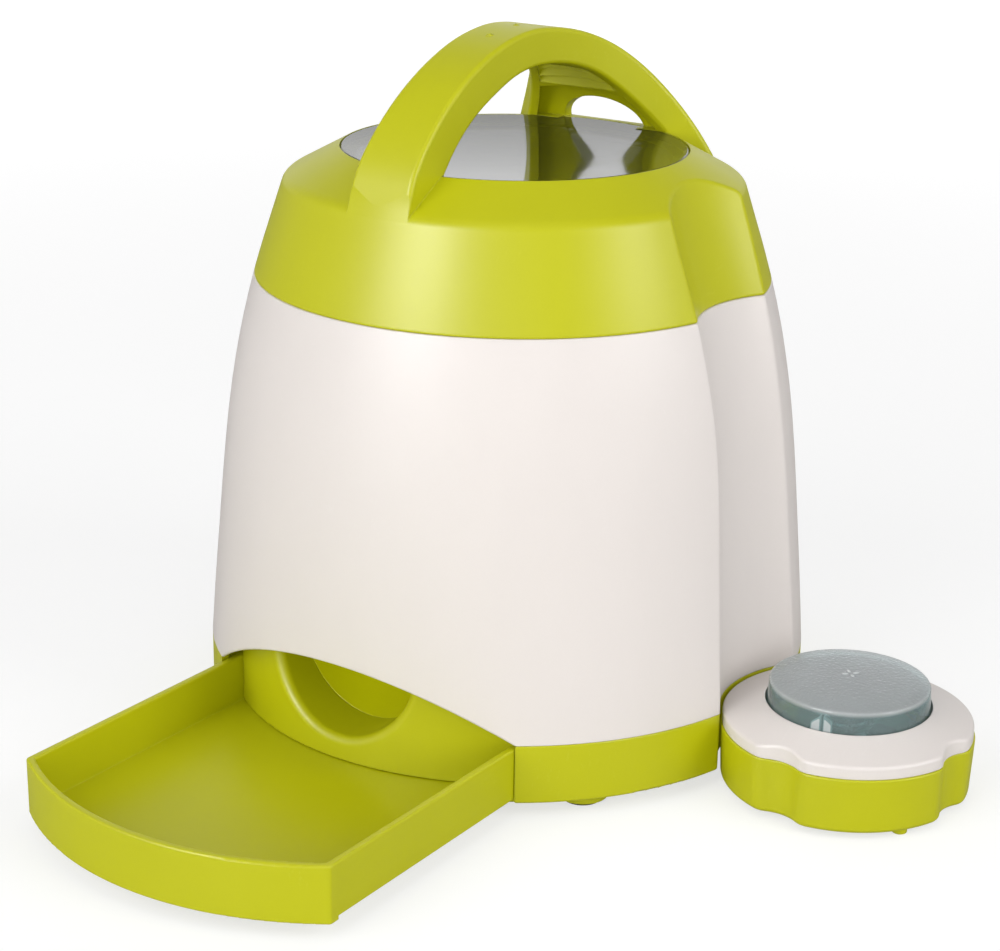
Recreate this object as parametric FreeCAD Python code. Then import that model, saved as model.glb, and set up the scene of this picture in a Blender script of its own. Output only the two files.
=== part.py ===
import FreeCAD, Part
import math
import os

# Remote-controlled pet treat dispenser: a round drum with an open tray, and a round
# push-button remote. Millimetres, +Z up, tray towards -Y (the front), remote docked in
# the +X side recess. Laid out round the drum's axis, then moved so that the origin is
# on the floor at the centre of the footprint.

# ---------------------------------------------------------------- driving dimensions
BASE_R = 80.0                      # base ring radius
RING_BOTTOM, RING_TOP = 4.0, 19.5
LID_SEAM_Z = 117.6                 # housing / lid seam
BAND_TOP = 141.4                   # where the band starts to round into the crease
CREASE_R, CREASE_Z = 59.1, 142.8   # edge between lid band and lid shoulder
RIM_R, RIM_Z = 44.8, 150.5         # window rim
WALL = 2.2
# (height, drum radius) above the base ring
PROFILE = [
    (19.5, 80.0), (32.0, 79.05), (44.0, 77.99), (56.0, 76.91), (68.0, 75.78),
    (80.0, 74.46), (92.0, 72.74), (104.0, 70.46), (112.0, 68.57), (117.6, 67.07),
    (124.0, 65.19), (130.0, 63.25), (136.0, 61.3), (141.4, 59.54)]
# side recesses: radius, and (height, x of the deepest line)
RECESS_R = 32.8
RECESS_LINE = [
    (-6.0, 70.9), (4.0, 70.9), (20.0, 70.9), (46.6, 69.85), (67.5, 68.75),
    (90.0, 66.7), (104.0, 63.9), (117.6, 60.2), (125.6, 57.5), (134.8, 54.2),
    (142.8, 51.6), (148.2, 50.2), (156.0, 48.6)]

# four screws that join base and housing, each with a rubber foot below
FEET = [(side * 53.5, end * 45.5) for side in (1, -1) for end in (1, -1)]
POST_R, POST_TOP = 4.5, 22.0       # base posts; the housing bosses stand on them

# tray
TRAY_W = 46.0                      # half width
TRAY_TOP, TRAY_BOTTOM, TRAY_FLOOR = 18.5, 4.0, 6.0
TRAY_WALL = 2.0
TRAY_CY = -71.4                    # centre of the front wall's arc when open
TRAY_REAR = -57.5
TRAY_SLOT_W = TRAY_W + 0.3         # half width of its slot in the base
TRAY_SLOT_Z = 3.8
TRAY_STOP_Y = 14.4

# hopper and metering disc
HOP_RI, HOP_RO, HOP_Z0, HOP_FLOOR, HOP_Z1 = 52.0, 53.8, 66.0, 68.4, 107.0
FLANGE_TOP = 109.2
DROP_Y, DROP_R = -36.0, 13.0       # drop hole
DISC_R, DISC_Z0, DISC_Z1, POCKET_R = 50.0, 69.0, 81.0, 12.0

# drum axis to the centre of the footprint
FOOTPRINT_X, FOOTPRINT_Y = 28.435, -35.188

Vector = FreeCAD.Vector
ORIGIN, UP = Vector(0, 0, 0), Vector(0, 0, 1)


# ---------------------------------------------------------------- helpers
def box(x0, x1, y0, y1, z0, z1):
    return Part.makeBox(x1 - x0, y1 - y0, z1 - z0, Vector(x0, y0, z0))


def pair_boxes(x0, x1, *rest):
    """A box on the +X side and its twin on the -X side."""
    return [box(x0, x1, *rest), box(-x1, -x0, *rest)]


def cyl(radius, z0, z1, x=0.0, y=0.0):
    return Part.makeCylinder(radius, z1 - z0, Vector(x, y, z0), UP)


def cyls(radius, z0, z1, places):
    return [cyl(radius, z0, z1, x, y) for x, y in places]


def tube(outer, inner, z0, z1, x=0.0, y=0.0):
    return cyl(outer, z0, z1, x, y).cut(cyl(inner, z0 - 1, z1 + 1, x, y))


def rod(radius, start, end):
    along = Vector(*end).sub(Vector(*start))
    return Part.makeCylinder(radius, along.Length, Vector(*start), along)


def polar(radius, degrees, x=0.0, y=0.0):
    angle = math.radians(degrees)
    return x + radius * math.cos(angle), y + radius * math.sin(angle)


def turned(shape, degrees):
    shape.rotate(ORIGIN, UP, degrees)
    return shape


def mirror_x(shape):
    return shape.mirror(ORIGIN, Vector(1, 0, 0))


def add(shape, *others):
    for other in others:
        shape = shape.fuse(other)
    return shape


def merge(shape, *others):
    return add(shape, *others).removeSplitter()


def cut(shape, *tools):
    for tool in tools:
        shape = shape.cut(tool)
    return shape


def group(*shapes):
    solids = []
    for shape in shapes:
        solids.extend(shape.Solids if shape.ShapeType == "Compound" else [shape])
    return Part.makeCompound(solids)


def solid_of(shape):
    """The only solid in a shape, unwrapped."""
    if shape.ShapeType != "Solid" and len(shape.Solids) == 1:
        return shape.Solids[0]
    return shape


def line(start, end):
    return Part.makeLine(Vector(*start), Vector(*end))


def chain(*points):
    """Straight edges from point to point."""
    return [line(start, end) for start, end in zip(points, points[1:])]


def spline(points):
    curve = Part.BSplineCurve()
    curve.interpolate([Vector(*point) for point in points])
    return curve.toShape()


def face_of(edges):
    return Part.Face(Part.Wire(edges))


def poly_face(points):
    corners = [Vector(*point) for point in points]
    return Part.Face(Part.makePolygon(corners + [corners[0]]))


def revolve_edges(edges):
    return face_of(edges).revolve(ORIGIN, UP, 360)


def revolve_side(start, edges, end):
    """Turn a side outline from start to end, both (radius, z), closed on the axis."""
    (r0, z0), (r1, z1) = start, end
    closing = chain((r1, 0, z1), (0, 0, z1), (0, 0, z0))
    return revolve_edges([line((0, 0, z0), (r0, 0, z0))] + edges + closing)


def mid_point(edge):
    return edge.valueAt((edge.FirstParameter + edge.LastParameter) / 2)


def is_level(edge, z):
    bounds = edge.BoundBox
    return abs(bounds.ZMin - z) <= 0.02 and abs(bounds.ZMax - z) <= 0.02


def level(z):
    """Test that picks the edges lying flat at height z."""
    return lambda edge: is_level(edge, z)


def try_fillet(shape, radius, edges):
    # the kernel may refuse a fillet, or return a broken solid
    try:
        rounded = shape.makeFillet(radius, edges)
        if rounded.isValid() and rounded.Volume > 0:
            return rounded
    except Exception:
        pass
    return None


def fillet_where(shape, radius, test):
    """Round the edges that test() picks, all at once or else one by one."""
    edges = [edge for edge in shape.Edges if test(edge)]
    if not edges:
        return shape
    rounded = try_fillet(shape, radius, edges)
    if rounded is not None:
        return rounded
    for edge in edges:
        middle = mid_point(edge)
        # the same edge, found again in the shape as it is now
        near = [other for other in shape.Edges
                if mid_point(other).distanceToPoint(middle) < 1e-3]
        rounded = try_fillet(shape, radius, near[:1]) if near else None
        if rounded is not None:
            shape = rounded
    return shape


def screws(places, seat, head_end, tip, radius, head_radius):
    """Pan-head screws along Z with a cross slot; head_end is the outer face of the head."""
    made = []
    for x, y in places:
        head = cyl(head_radius, min(seat, head_end), max(seat, head_end), x, y)
        slot = box(-head_radius, head_radius, -0.3, 0.3, 0, 0.7)
        slot = slot.fuse(box(-0.3, 0.3, -head_radius, head_radius, 0, 0.7))
        slot = slot.common(cyl(head_radius * 0.62, -1, 2))
        slot.translate(Vector(x, y, head_end - 0.7 if head_end > seat else head_end))
        shank = cyl(radius, min(tip, seat), max(tip, seat), x, y)
        made.append(merge(head.cut(slot), shank))
    return group(*made)


def wire(points, radius):
    """Round wire along a smooth curve."""
    path = spline(points)
    start = path.tangentAt(path.FirstParameter)
    section = Part.Wire(Part.makeCircle(radius, Vector(*points[0]), start))
    return Part.Wire([path]).makePipeShell([section], True, True)


def natural_spline(table):
    """Natural cubic spline through (height, value) pairs, as a function of height."""
    xs, ys = zip(*table)
    last = len(xs) - 1
    gaps = [xs[i + 1] - xs[i] for i in range(last)]
    slopes = [(ys[i + 1] - ys[i]) / gaps[i] for i in range(last)]
    # three-diagonal system for the second derivatives, swept forwards then backwards
    upper, diagonal, load = [0.0], [1.0], [0.0]
    for i in range(1, last):
        factor = gaps[i - 1] / diagonal[i - 1]
        upper.append(gaps[i])
        diagonal.append(2 * (gaps[i - 1] + gaps[i]) - factor * upper[i - 1])
        load.append(6 * (slopes[i] - slopes[i - 1]) - factor * load[i - 1])
    bend = [0.0] * (last + 1)
    for i in range(last - 1, 0, -1):
        bend[i] = (load[i] - upper[i] * bend[i + 1]) / diagonal[i]

    def value(x):
        i = 0
        while i < last - 1 and x > xs[i + 1]:
            i += 1
        gap, before, after = gaps[i], xs[i + 1] - x, x - xs[i]
        return ((bend[i] * before ** 3 + bend[i + 1] * after ** 3) / (6 * gap)
                + (ys[i] / gap - bend[i] * gap / 6) * before
                + (ys[i + 1] / gap - bend[i + 1] * gap / 6) * after)
    return value


# ---------------------------------------------------------------- drum form
band_radius = natural_spline(PROFILE)
recess_x = natural_spline(RECESS_LINE)
SHOULDER = Vector(RIM_R - CREASE_R, 0, RIM_Z - CREASE_Z)   # up the lid shoulder
SHOULDER.normalize()


def skin_radius(z, inset=0.0):
    """Drum radius at height z, inset square to the skin."""
    if z <= RING_TOP:
        return BASE_R - inset
    slope = (band_radius(z + 0.05) - band_radius(z - 0.05)) / 0.1
    return band_radius(z) - inset * math.sqrt(1 + slope * slope)


def band_points(z0, z1, steps, inset=0.0):
    heights = [z0 + (z1 - z0) * i / steps for i in range(steps + 1)]
    return [(skin_radius(z, inset), 0, z) for z in heights]


def drum_slice(z0, z1, inset=0.0):
    """Body of revolution between two heights inside the band, offset inwards."""
    edges = []
    if z0 < RING_TOP:
        radius = BASE_R - inset
        edges.append(line((radius, 0, z0), (radius, 0, min(z1, RING_TOP))))
    if z1 > RING_TOP:
        edges.append(spline(band_points(max(z0, RING_TOP), z1, 12, inset)))
    return revolve_side((skin_radius(z0, inset), z0), edges, (skin_radius(z1, inset), z1))


def recess_tools(grow=0.0):
    """Cutters of the +X and -X recesses."""
    wires = [Part.Wire(Part.makeCircle(RECESS_R + grow, Vector(x + RECESS_R, 0, z), UP))
             for z, x in RECESS_LINE]
    tool = Part.makeLoft(wires, True, False)
    return [tool, mirror_x(tool)]


RECESSES = recess_tools()


def inner(z0, z1, inset):
    """Space inside the drum at a distance from its outer skin, recesses included."""
    return cut(drum_slice(z0, z1, inset), *recess_tools(inset))


def on_recess_edge(edge):
    middle = mid_point(edge)
    if middle.z < RING_BOTTOM + 0.5 or middle.z > RIM_Z - 0.5 or edge.BoundBox.ZLength < 1.0:
        return False
    if abs(middle.y) > 22 or abs(middle.x) < 45:
        return False
    centre_x = recess_x(middle.z) + RECESS_R
    return abs(math.hypot(abs(middle.x) - centre_x, middle.y) - RECESS_R) < 0.15


def drum_envelope():
    """Outer form of base ring, housing and lid in one."""
    band = band_points(RING_TOP, BAND_TOP, 16)
    shoulder = (CREASE_R + SHOULDER.x * 2.4, 0, CREASE_Z + SHOULDER.z * 2.4)
    crease = Part.BezierCurve()
    crease.setPoles([Vector(*p) for p in (band[-1], (CREASE_R, 0, CREASE_Z), shoulder)])
    edges = [line((BASE_R, 0, RING_BOTTOM), (BASE_R, 0, RING_TOP)), spline(band),
             crease.toShape(), line(shoulder, (RIM_R, 0, RIM_Z))]
    form = cut(revolve_side((BASE_R, RING_BOTTOM), edges, (RIM_R, RIM_Z)), *RECESSES)
    return fillet_where(form, 1.5, on_recess_edge)


ENVELOPE = drum_envelope()


def envelope_slice(z0, z1):
    return solid_of(ENVELOPE.common(box(-120, 120, -120, 120, z0, z1)))


# ---------------------------------------------------------------- base shell
PLATE_R, PLATE_BOTTOM = 74.5, 1.8
# battery door opening, its screw in a tab at the rear, and the open bay of the battery box
DOOR_X, DOOR_Y0, DOOR_Y1 = 31.0, 18.2, 65.0
DOOR_SCREW = (-16, 68.2)
TAB_W = 4.0                        # half width of the tab's slot
BAY = (-29.5, 29.5, 18.6, 64.6)    # x0, x1, y0, y1
SPEAKER = (-45.0, 33.8)


def base_ring():
    slot = box(-TRAY_SLOT_W, TRAY_SLOT_W, -90, 0, 0, 30)
    ring = solid_of(envelope_slice(RING_BOTTOM, RING_TOP).cut(slot))
    ring = fillet_where(ring, 0.5, level(RING_TOP))
    ring = fillet_where(ring, 0.7, level(RING_BOTTOM))
    floor_hole = cut(cyl(73.0, 3.0, 7.0), *pair_boxes(63.5, 90, -40, 40, 0, 9))
    return cut(ring, inner(5.8, 21.0, WALL), floor_hole)


def base_plate():
    plate = cut(cyl(PLATE_R, PLATE_BOTTOM, RING_BOTTOM), *pair_boxes(67.8, 90, -40, 40, 0, 9))
    slot = box(-TRAY_SLOT_W, TRAY_SLOT_W, -90, TRAY_STOP_Y, 3, 9)
    return cut(plate, cyl(80, TRAY_SLOT_Z, 5.0).common(slot))


def tray_rails():
    """Rail with an overhanging top lip at each side of the tray."""
    rails = []
    for side in (1, -1):
        rail = box(48, 50, -57.8, 24, 3.5, 20.4).fuse(box(45, 50, -57.8, 24, 18.9, 20.4))
        if side < 0:
            rail = mirror_x(rail)
        rails.append(rail.common(inner(0, 30, WALL)))
    return rails


def housing_tongue():
    """Tongue that locates the housing, and the thicker ring that ties it to the base."""
    bottom = RING_TOP - 5.5
    inside = inner(RING_TOP - 7, RING_TOP + 4.0, WALL + 1.6)
    front = box(-60, 60, -90, -40, 0, 40)
    tongue = cut(inner(bottom, RING_TOP + 3.0, WALL + 0.1), inside, front)
    tie = cut(inner(bottom, RING_TOP - 0.6, WALL - 0.4), inside, front)
    for x, y in FEET:
        tongue = tongue.cut(cyl(14.0, 21.0, 30.0, x * 1.06, y * 1.06))
    return tongue, tie


def base_shell():
    base = merge(base_ring(), base_plate())
    base = cut(base, box(-TRAY_SLOT_W, TRAY_SLOT_W, -90, 0, TRAY_SLOT_Z, 30))
    base = add(base, *tray_rails())
    base = base.fuse(box(-48, 48, TRAY_STOP_Y, 16.2, 3.5, 13.0))
    base = add(base, *housing_tongue())
    for x, y in FEET:
        base = add(base, cyl(6.5, 1.2, 4.2, x, y), cyl(POST_R, 3.0, POST_TOP, x, y))
    for x, y in FEET:
        # foot pocket, screw head, screw shank
        base = cut(base, cyl(5.2, 1.0, 3.0, x, y), cyl(3.2, 2.9, 5.2, x, y),
                   cyl(1.7, 5.0, 23.0, x, y))
    # battery opening, with the door's screw tab
    tab_x = DOOR_SCREW[0]
    base = cut(base, box(-DOOR_X, DOOR_X, DOOR_Y0, DOOR_Y1, 0, 4.2),
               box(tab_x - TAB_W, tab_x + TAB_W, DOOR_Y1 - 1, 71.4, 0, 3.0),
               cyl(1.7, 2.9, 4.0, *DOOR_SCREW), box(*BAY, 3.0, 6.0))
    base = base.fuse(tube(3.0, 1.3, 3.8, 12.0, *DOOR_SCREW))
    base = cut(base, cyl(1.3, 2.8, 12.5, *DOOR_SCREW))
    # speaker seat and the sound holes under it
    base = base.fuse(tube(9.5, 7.6, 3.6, 6.2, *SPEAKER).cut(box(-34.0, 0, 0, 80, 0, 9)))
    sound_holes = [polar(4.5, 60 * i, *SPEAKER) for i in range(6)] + [SPEAKER]
    base = cut(base, *cyls(1.1, 1.0, 4.5, sound_holes))
    # slot for the power switch at the rear, and room for its body
    base = cut(base, box(-5.3, 5.3, 70, 90, 9.6, 14.4))
    base = cut(base, box(-9.2, 9.2, 70.0, 77.0, 6.8, 16.2),
               box(-9.2, 9.2, 70.0, 76.6, 13.0, 23.0))
    return base.removeSplitter()


def rubber_feet():
    return group(*[fillet_where(foot, 0.6, level(0)) for foot in cyls(5.15, 0.0, 3.0, FEET)])


# ---------------------------------------------------------------- outer housing
ARCH_R, ARCH_CZ = 78.4, -44.2      # front arch
BOSS_TOP = 48.0
HOP_SCREWS = [polar(61.5, degrees) for degrees in (45, 135, 225, 315)]


def on_arch_outer(edge):
    middle = mid_point(edge)
    return (middle.y < -20 and middle.z > RING_TOP + 0.5
            and abs(math.hypot(middle.x, middle.z - ARCH_CZ) - ARCH_R) < 0.02
            and abs(math.hypot(middle.x, middle.y) - skin_radius(middle.z)) < 0.1)


def outer_housing():
    house = envelope_slice(RING_TOP, LID_SEAM_Z)
    house = fillet_where(house, 0.5, level(LID_SEAM_Z))
    house = cut(house, inner(RING_TOP - 2, LID_SEAM_Z + 2, WALL))
    house = cut(house, rod(ARCH_R, (0, -95, ARCH_CZ), (0, -15, ARCH_CZ)))
    house = fillet_where(house, 0.5, on_arch_outer)
    # ledge that carries the hopper flange
    house = house.fuse(cut(inner(103.5, HOP_Z1, WALL - 0.3), cyl(57.0, 100, 110)))
    for x, y in FEET:
        # screw boss, with a rib out to the wall
        rib = box(0, 12.0, -1, 1, POST_TOP, BOSS_TOP)
        rib = turned(rib, math.degrees(math.atan2(y, x)))
        rib.translate(Vector(x, y, 0))
        rib = rib.common(inner(21.5, 49.0, WALL - 0.5))
        house = add(house, cyl(POST_R, POST_TOP, BOSS_TOP, x, y), rib)
    house = cut(house, *cyls(1.5, 21.0, 40.0, FEET))
    house = cut(house, *cyls(1.3, 103.0, 108.0, HOP_SCREWS))
    return house.removeSplitter()


def housing_screws():
    return screws(FEET, seat=5.2, head_end=3.25, tip=34.0, radius=1.5, head_radius=3.0)


# ---------------------------------------------------------------- food tray
def tray_prism(inset, rear, z0, z1):
    """Straight-sided plan with the front wall as an arc."""
    radius, half = BASE_R - inset, TRAY_W - inset
    corner_y = TRAY_CY - math.sqrt(radius * radius - half * half)
    front = Part.Arc(Vector(-half, corner_y, 0), Vector(0, TRAY_CY - radius, 0),
                     Vector(half, corner_y, 0)).toShape()
    sides = chain((half, corner_y, 0), (half, rear, 0), (-half, rear, 0), (-half, corner_y, 0))
    prism = face_of([front] + sides).extrude(Vector(0, 0, z1 - z0))
    prism.translate(Vector(0, 0, z0))
    return prism


def food_tray():
    tray = tray_prism(0, TRAY_REAR, TRAY_BOTTOM, TRAY_TOP)
    tray = fillet_where(tray, 1.0,
                        lambda e: e.BoundBox.ZLength > 10 and e.BoundBox.YMax < -100)
    hollow_rear = TRAY_REAR + 5
    hollow = tray_prism(TRAY_WALL, hollow_rear, TRAY_FLOOR, TRAY_FLOOR + 40)
    hollow = fillet_where(hollow, 1.2, lambda e: is_level(e, TRAY_FLOOR)
                          and abs(e.BoundBox.YMin - hollow_rear) >= 0.01)
    tray = cut(tray, hollow)
    tray = fillet_where(tray, 0.55,
                        lambda e: is_level(e, TRAY_TOP) and e.BoundBox.YLength > 3)
    tray = fillet_where(tray, 0.4,
                        lambda e: is_level(e, TRAY_BOTTOM) and e.BoundBox.YMin < -130)
    # a step along the lower edge of each side wall, behind the front wall
    tray = cut(tray, *pair_boxes(43.4, 47, -134.2, -62.0, 3.0, 5.2))
    # tab at the rear of each side
    tray = add(tray, *pair_boxes(45.5, 47.6, -61.1, TRAY_REAR, 6.0, 17.5))
    return tray.removeSplitter()


# ---------------------------------------------------------------- outlet panel and chute
PANEL_R, PANEL_T, PANEL_W, PANEL_BOTTOM, PANEL_TOP = 74.0, 2.0, 43.8, 6.35, 40.0
OUTLET_X, OUTLET_Z, OUTLET_R, OUTLET_LIP = -2.0, 33.5, 21.2, 2.1
CHUTE_WALL = 1.8
# elbow from the outlet to the drop hole: x, y, z, tilt in degrees, outer radius
CHUTE_PATH = [
    (OUTLET_X, -58.9, OUTLET_Z, 0.0, 23.0),
    (-1.8, -50.5, 35.6, 18.0, 22.0),
    (-1.2, -42.6, 42.0, 42.0, 19.8),
    (-0.4, -37.6, 52.6, 68.0, 16.7),
    (0.0, DROP_Y, 65.4, 90.0, 15.2)]


def outlet_rod(radius, y0, y1):
    return rod(radius, (OUTLET_X, y0, OUTLET_Z), (OUTLET_X, y1, OUTLET_Z))


def on_outlet_lip(edge):
    middle = mid_point(edge)
    return (abs(math.hypot(middle.x - OUTLET_X, middle.z - OUTLET_Z) - OUTLET_R) < 0.02
            and abs(math.hypot(middle.x, middle.y) - PANEL_R) < 0.05 and edge.Length > 5)


def outlet_panel():
    panel = tube(PANEL_R, PANEL_R - PANEL_T, PANEL_BOTTOM, PANEL_TOP)
    panel = panel.common(box(-PANEL_W, PANEL_W, -90, -30, 0, 60))
    collar = outlet_rod(OUTLET_R + 3.6, -76, -59).common(cyl(PANEL_R, PANEL_BOTTOM, 70.0))
    panel = merge(panel, collar).cut(outlet_rod(OUTLET_R, -90, -30))
    return fillet_where(solid_of(panel), OUTLET_LIP, on_outlet_lip)


def elbow(inset):
    wires = []
    for x, y, z, tilt, radius in CHUTE_PATH:
        angle = math.radians(tilt)
        across = Vector(0, math.cos(angle), math.sin(angle))
        wires.append(Part.Wire(Part.makeCircle(radius - inset, Vector(x, y, z), across)))
    return Part.makeLoft(wires, True, False)


def chute():
    return solid_of(elbow(0.0).cut(elbow(CHUTE_WALL)))


# ---------------------------------------------------------------- hopper
BOX_SCREWS = [(-22.0, 0.0), (16.0, -16.0), (12.0, 38.0)]   # hold the gearbox below
INDEX_SWITCH = (-36.0, 14.0)
GUARD_Z = 83.0


def hopper():
    body = tube(HOP_RO, HOP_RI, HOP_Z0, HOP_Z1 + 0.6).fuse(cyl(HOP_RO, HOP_Z0, HOP_FLOOR))
    body = body.fuse(inner(HOP_Z1, FLANGE_TOP, WALL + 0.3).cut(cyl(HOP_RI, 100, 120)))
    body = cut(body, cyl(DROP_R, 60, 70, 0, DROP_Y), cyl(3.2, 60, 70))
    for x, y in BOX_SCREWS:
        body = body.fuse(cyl(3.4, 65.7, 68.6, x, y).fuse(cyl(2.4, 68.0, 68.7, x, y)))
    body = cut(body, *cyls(1.3, 65.0, 68.0, BOX_SCREWS))
    body = cut(body, *cyls(1.5, 100.0, 112.0, HOP_SCREWS))
    return cut(body, cyl(1.5, 60, 70, *INDEX_SWITCH)).removeSplitter()


def hopper_screws():
    return screws(HOP_SCREWS, seat=FLANGE_TOP, head_end=110.6, tip=103.6, radius=1.3,
                  head_radius=2.4)


def front_wedge(z, height):
    return poly_face([(0, 0, z), (-32, -60, z), (32, -60, z)]).extrude(Vector(0, 0, height))


def drop_guard():
    """Keeps loose food from falling straight down the drop hole."""
    guard = front_wedge(GUARD_Z, 1.8).common(cyl(HOP_RI, 80, 90)).cut(cyl(14.0, 80, 90))
    lip = tube(HOP_RI, HOP_RI - 1.6, GUARD_Z, 93.0).common(front_wedge(80.0, 20))
    return merge(guard, lip)


def index_switch():
    """Position switch under the hopper floor, with a plunger through it."""
    x, y = INDEX_SWITCH
    body = box(x - 6, x + 6, y - 3, y + 3, 58.5, 65.9)
    return merge(body, cyl(1.3, 65.0, 68.85, x, y), box(-41, -39.8, 13, 15, 55.5, 58.6),
                 box(-32.2, -31, 13, 15, 55.5, 58.6))


# ---------------------------------------------------------------- metering disc
SHAFT_TOP = 86.0
D_SHAFT = cyl(2.6, 60, SHAFT_TOP).cut(box(1.9, 4, -4, 4, DISC_Z0, 90))
DISC_SCREW_R, DISC_SCREW_Z0, DISC_SCREW_Z1 = 1.5, 76.0, 90.0


def metering_disc():
    disc = cyl(DISC_R, DISC_Z0, DISC_Z1)
    disc = disc.fuse(Part.makeCone(13.0, 5.0, 9.0, Vector(0, 0, DISC_Z1), UP))
    # the pockets pass over the drop hole
    pockets = [polar(-DROP_Y, -90 + 60 * i) for i in range(6)]
    disc = cut(disc, *cyls(POCKET_R, 60, 90, pockets))
    disc = cut(disc, D_SHAFT, cyl(DISC_SCREW_R, 80, 95))
    for i in range(6):
        fin = box(16, 44, -1.0, 1.0, DISC_Z1 - 0.5, DISC_Z1 + 1.4)
        disc = disc.fuse(turned(fin, -60 + 60 * i))
    return disc.removeSplitter()


def disc_screw():
    head = cut(cyl(3.4, DISC_SCREW_Z1, 92.2), box(-3.6, 3.6, -0.4, 0.4, 91.3, 93),
               box(-0.4, 0.4, -3.6, 3.6, 91.3, 93))
    return merge(cyl(DISC_SCREW_R, DISC_SCREW_Z0, DISC_SCREW_Z1), head)


# ---------------------------------------------------------------- gear train
MODULE, BACKLASH, PRESSURE_ANGLE = 0.8, 0.10, math.radians(20)
OUT_TEETH, IDLER_SMALL, IDLER_LARGE, PINION_TEETH = 40, 12, 36, 10
IDLER_ANGLE, MOTOR_ANGLE = 60, 150   # output to idler, idler to motor, in degrees
IDLER = polar(MODULE * (OUT_TEETH + IDLER_SMALL) / 2.0, IDLER_ANGLE)
MOTOR = polar(MODULE * (IDLER_LARGE + PINION_TEETH) / 2.0, MOTOR_ANGLE, *IDLER)
MOTOR_SCREWS = [polar(8.0, MOTOR_ANGLE + turn, *MOTOR) for turn in (90, -90)]
MOTOR_SHAFT_R, MOTOR_SHAFT_TOP = 1.0, 55.6


def gear_face(teeth, phase):
    """Involute spur gear outline, one tooth centred on the phase angle (radians)."""
    def involute(angle):
        return math.tan(angle) - angle

    pitch_r = teeth * MODULE / 2.0
    base_r = pitch_r * math.cos(PRESSURE_ANGLE)
    tip_r = pitch_r + 0.95 * MODULE
    root_r = pitch_r - 1.2 * MODULE
    half = math.pi / (2 * teeth) - BACKLASH / (2 * pitch_r) + involute(PRESSURE_ANGLE)
    flank_r = max(base_r, root_r + 0.01)
    flank = []                     # (radius, angle from the tooth's centre)
    for i in range(5):
        radius = flank_r + (tip_r - flank_r) * i / 4.0
        flank.append((radius, half - involute(math.acos(min(1.0, base_r / radius)))))
    root_angle = min(math.pi / teeth * 0.98, flank[0][1] + 0.02)
    left = [(root_r, -root_angle)] + [(radius, -angle) for radius, angle in flank]
    right = flank[::-1] + [(root_r, root_angle)]
    points = []
    for k in range(teeth):
        centre = phase + 2 * math.pi * k / teeth
        for radius, angle in left + right:
            points.append((radius * math.cos(centre + angle),
                           radius * math.sin(centre + angle), 0))
    return poly_face(points)


def gear(teeth, z0, z1, place, phase):
    wheel = gear_face(teeth, math.radians(phase)).extrude(Vector(0, 0, z1 - z0))
    wheel.translate(Vector(*place, z0))
    return wheel


def mate_phase(degrees, teeth):
    """Phase that puts a gap of the driven gear on the line of centres."""
    return degrees + 180 + 180 / teeth


def output_gear():
    wheel = gear(OUT_TEETH, 57.0, 62.0, (0, 0), IDLER_ANGLE)
    wheel = add(wheel, cyl(3.0, 48.6, DISC_Z0), cyl(5.5, 55.6, 62.8),
                D_SHAFT.common(box(-9, 9, -9, 9, DISC_Z0, SHAFT_TOP)))
    return cut(wheel, cyl(DISC_SCREW_R, DISC_SCREW_Z0, DISC_SCREW_Z1)).removeSplitter()


def idler_gear():
    small = gear(IDLER_SMALL, 54.9, 62.6, IDLER, mate_phase(IDLER_ANGLE, IDLER_SMALL))
    large = gear(IDLER_LARGE, 51.2, 55.2, IDLER, MOTOR_ANGLE)
    return merge(small, large).cut(cyl(1.05, 40, 70, *IDLER))


def idler_pin():
    return cyl(1.0, 48.6, 65.2, *IDLER)


def motor_pinion():
    phase = mate_phase(MOTOR_ANGLE, PINION_TEETH)
    wheel = gear(PINION_TEETH, 50.9, MOTOR_SHAFT_TOP, MOTOR, phase)
    return wheel.cut(cyl(MOTOR_SHAFT_R, 40, 70, *MOTOR))


def motor_shaft():
    return cyl(MOTOR_SHAFT_R, 34.0, MOTOR_SHAFT_TOP, *MOTOR)


# ---------------------------------------------------------------- gearbox and motor
GEARBOX_R = (19.5, 17.6, 8.5)      # round the output gear, the idler and the pinion
GEARBOX_WALL = 1.6
GEARBOX_BOTTOM, GEARBOX_FLOOR, GEARBOX_SEAM, GEARBOX_TOP = 48.0, 50.0, 63.4, 65.5


def gearbox_outline(inset, z0, z1):
    rounds = [cyl(radius - inset, z0, z1, *place)
              for place, radius in zip(((0, 0), IDLER, MOTOR), GEARBOX_R)]
    return add(*rounds)


def gearbox_block(z0, z1):
    """Outline with a lug at each screw."""
    return add(gearbox_outline(0.0, z0, z1), *cyls(3.6, z0, z1, BOX_SCREWS),
               box(8, 16, 30, 38, z0, z1), box(-22, -14, -3, 3, z0, z1),
               box(10, 18.5, -16, -8, z0, z1))


def gearbox_base():
    body = gearbox_block(GEARBOX_BOTTOM, GEARBOX_SEAM)
    body = body.cut(gearbox_outline(GEARBOX_WALL, GEARBOX_FLOOR, 64.0))
    body = cut(body, cyl(3.06, 47, 51), cyl(1.0, 47, 51, *IDLER), cyl(3.1, 47, 51, *MOTOR))
    body = add(body, *cyls(3.2, GEARBOX_BOTTOM, GEARBOX_FLOOR, MOTOR_SCREWS))
    for x, y in MOTOR_SCREWS:
        body = cut(body, cyl(1.1, 47, 50.5, x, y), cyl(2.3, GEARBOX_FLOOR, 64.0, x, y))
    return cut(body, *cyls(1.5, 47, 64, BOX_SCREWS)).removeSplitter()


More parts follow.
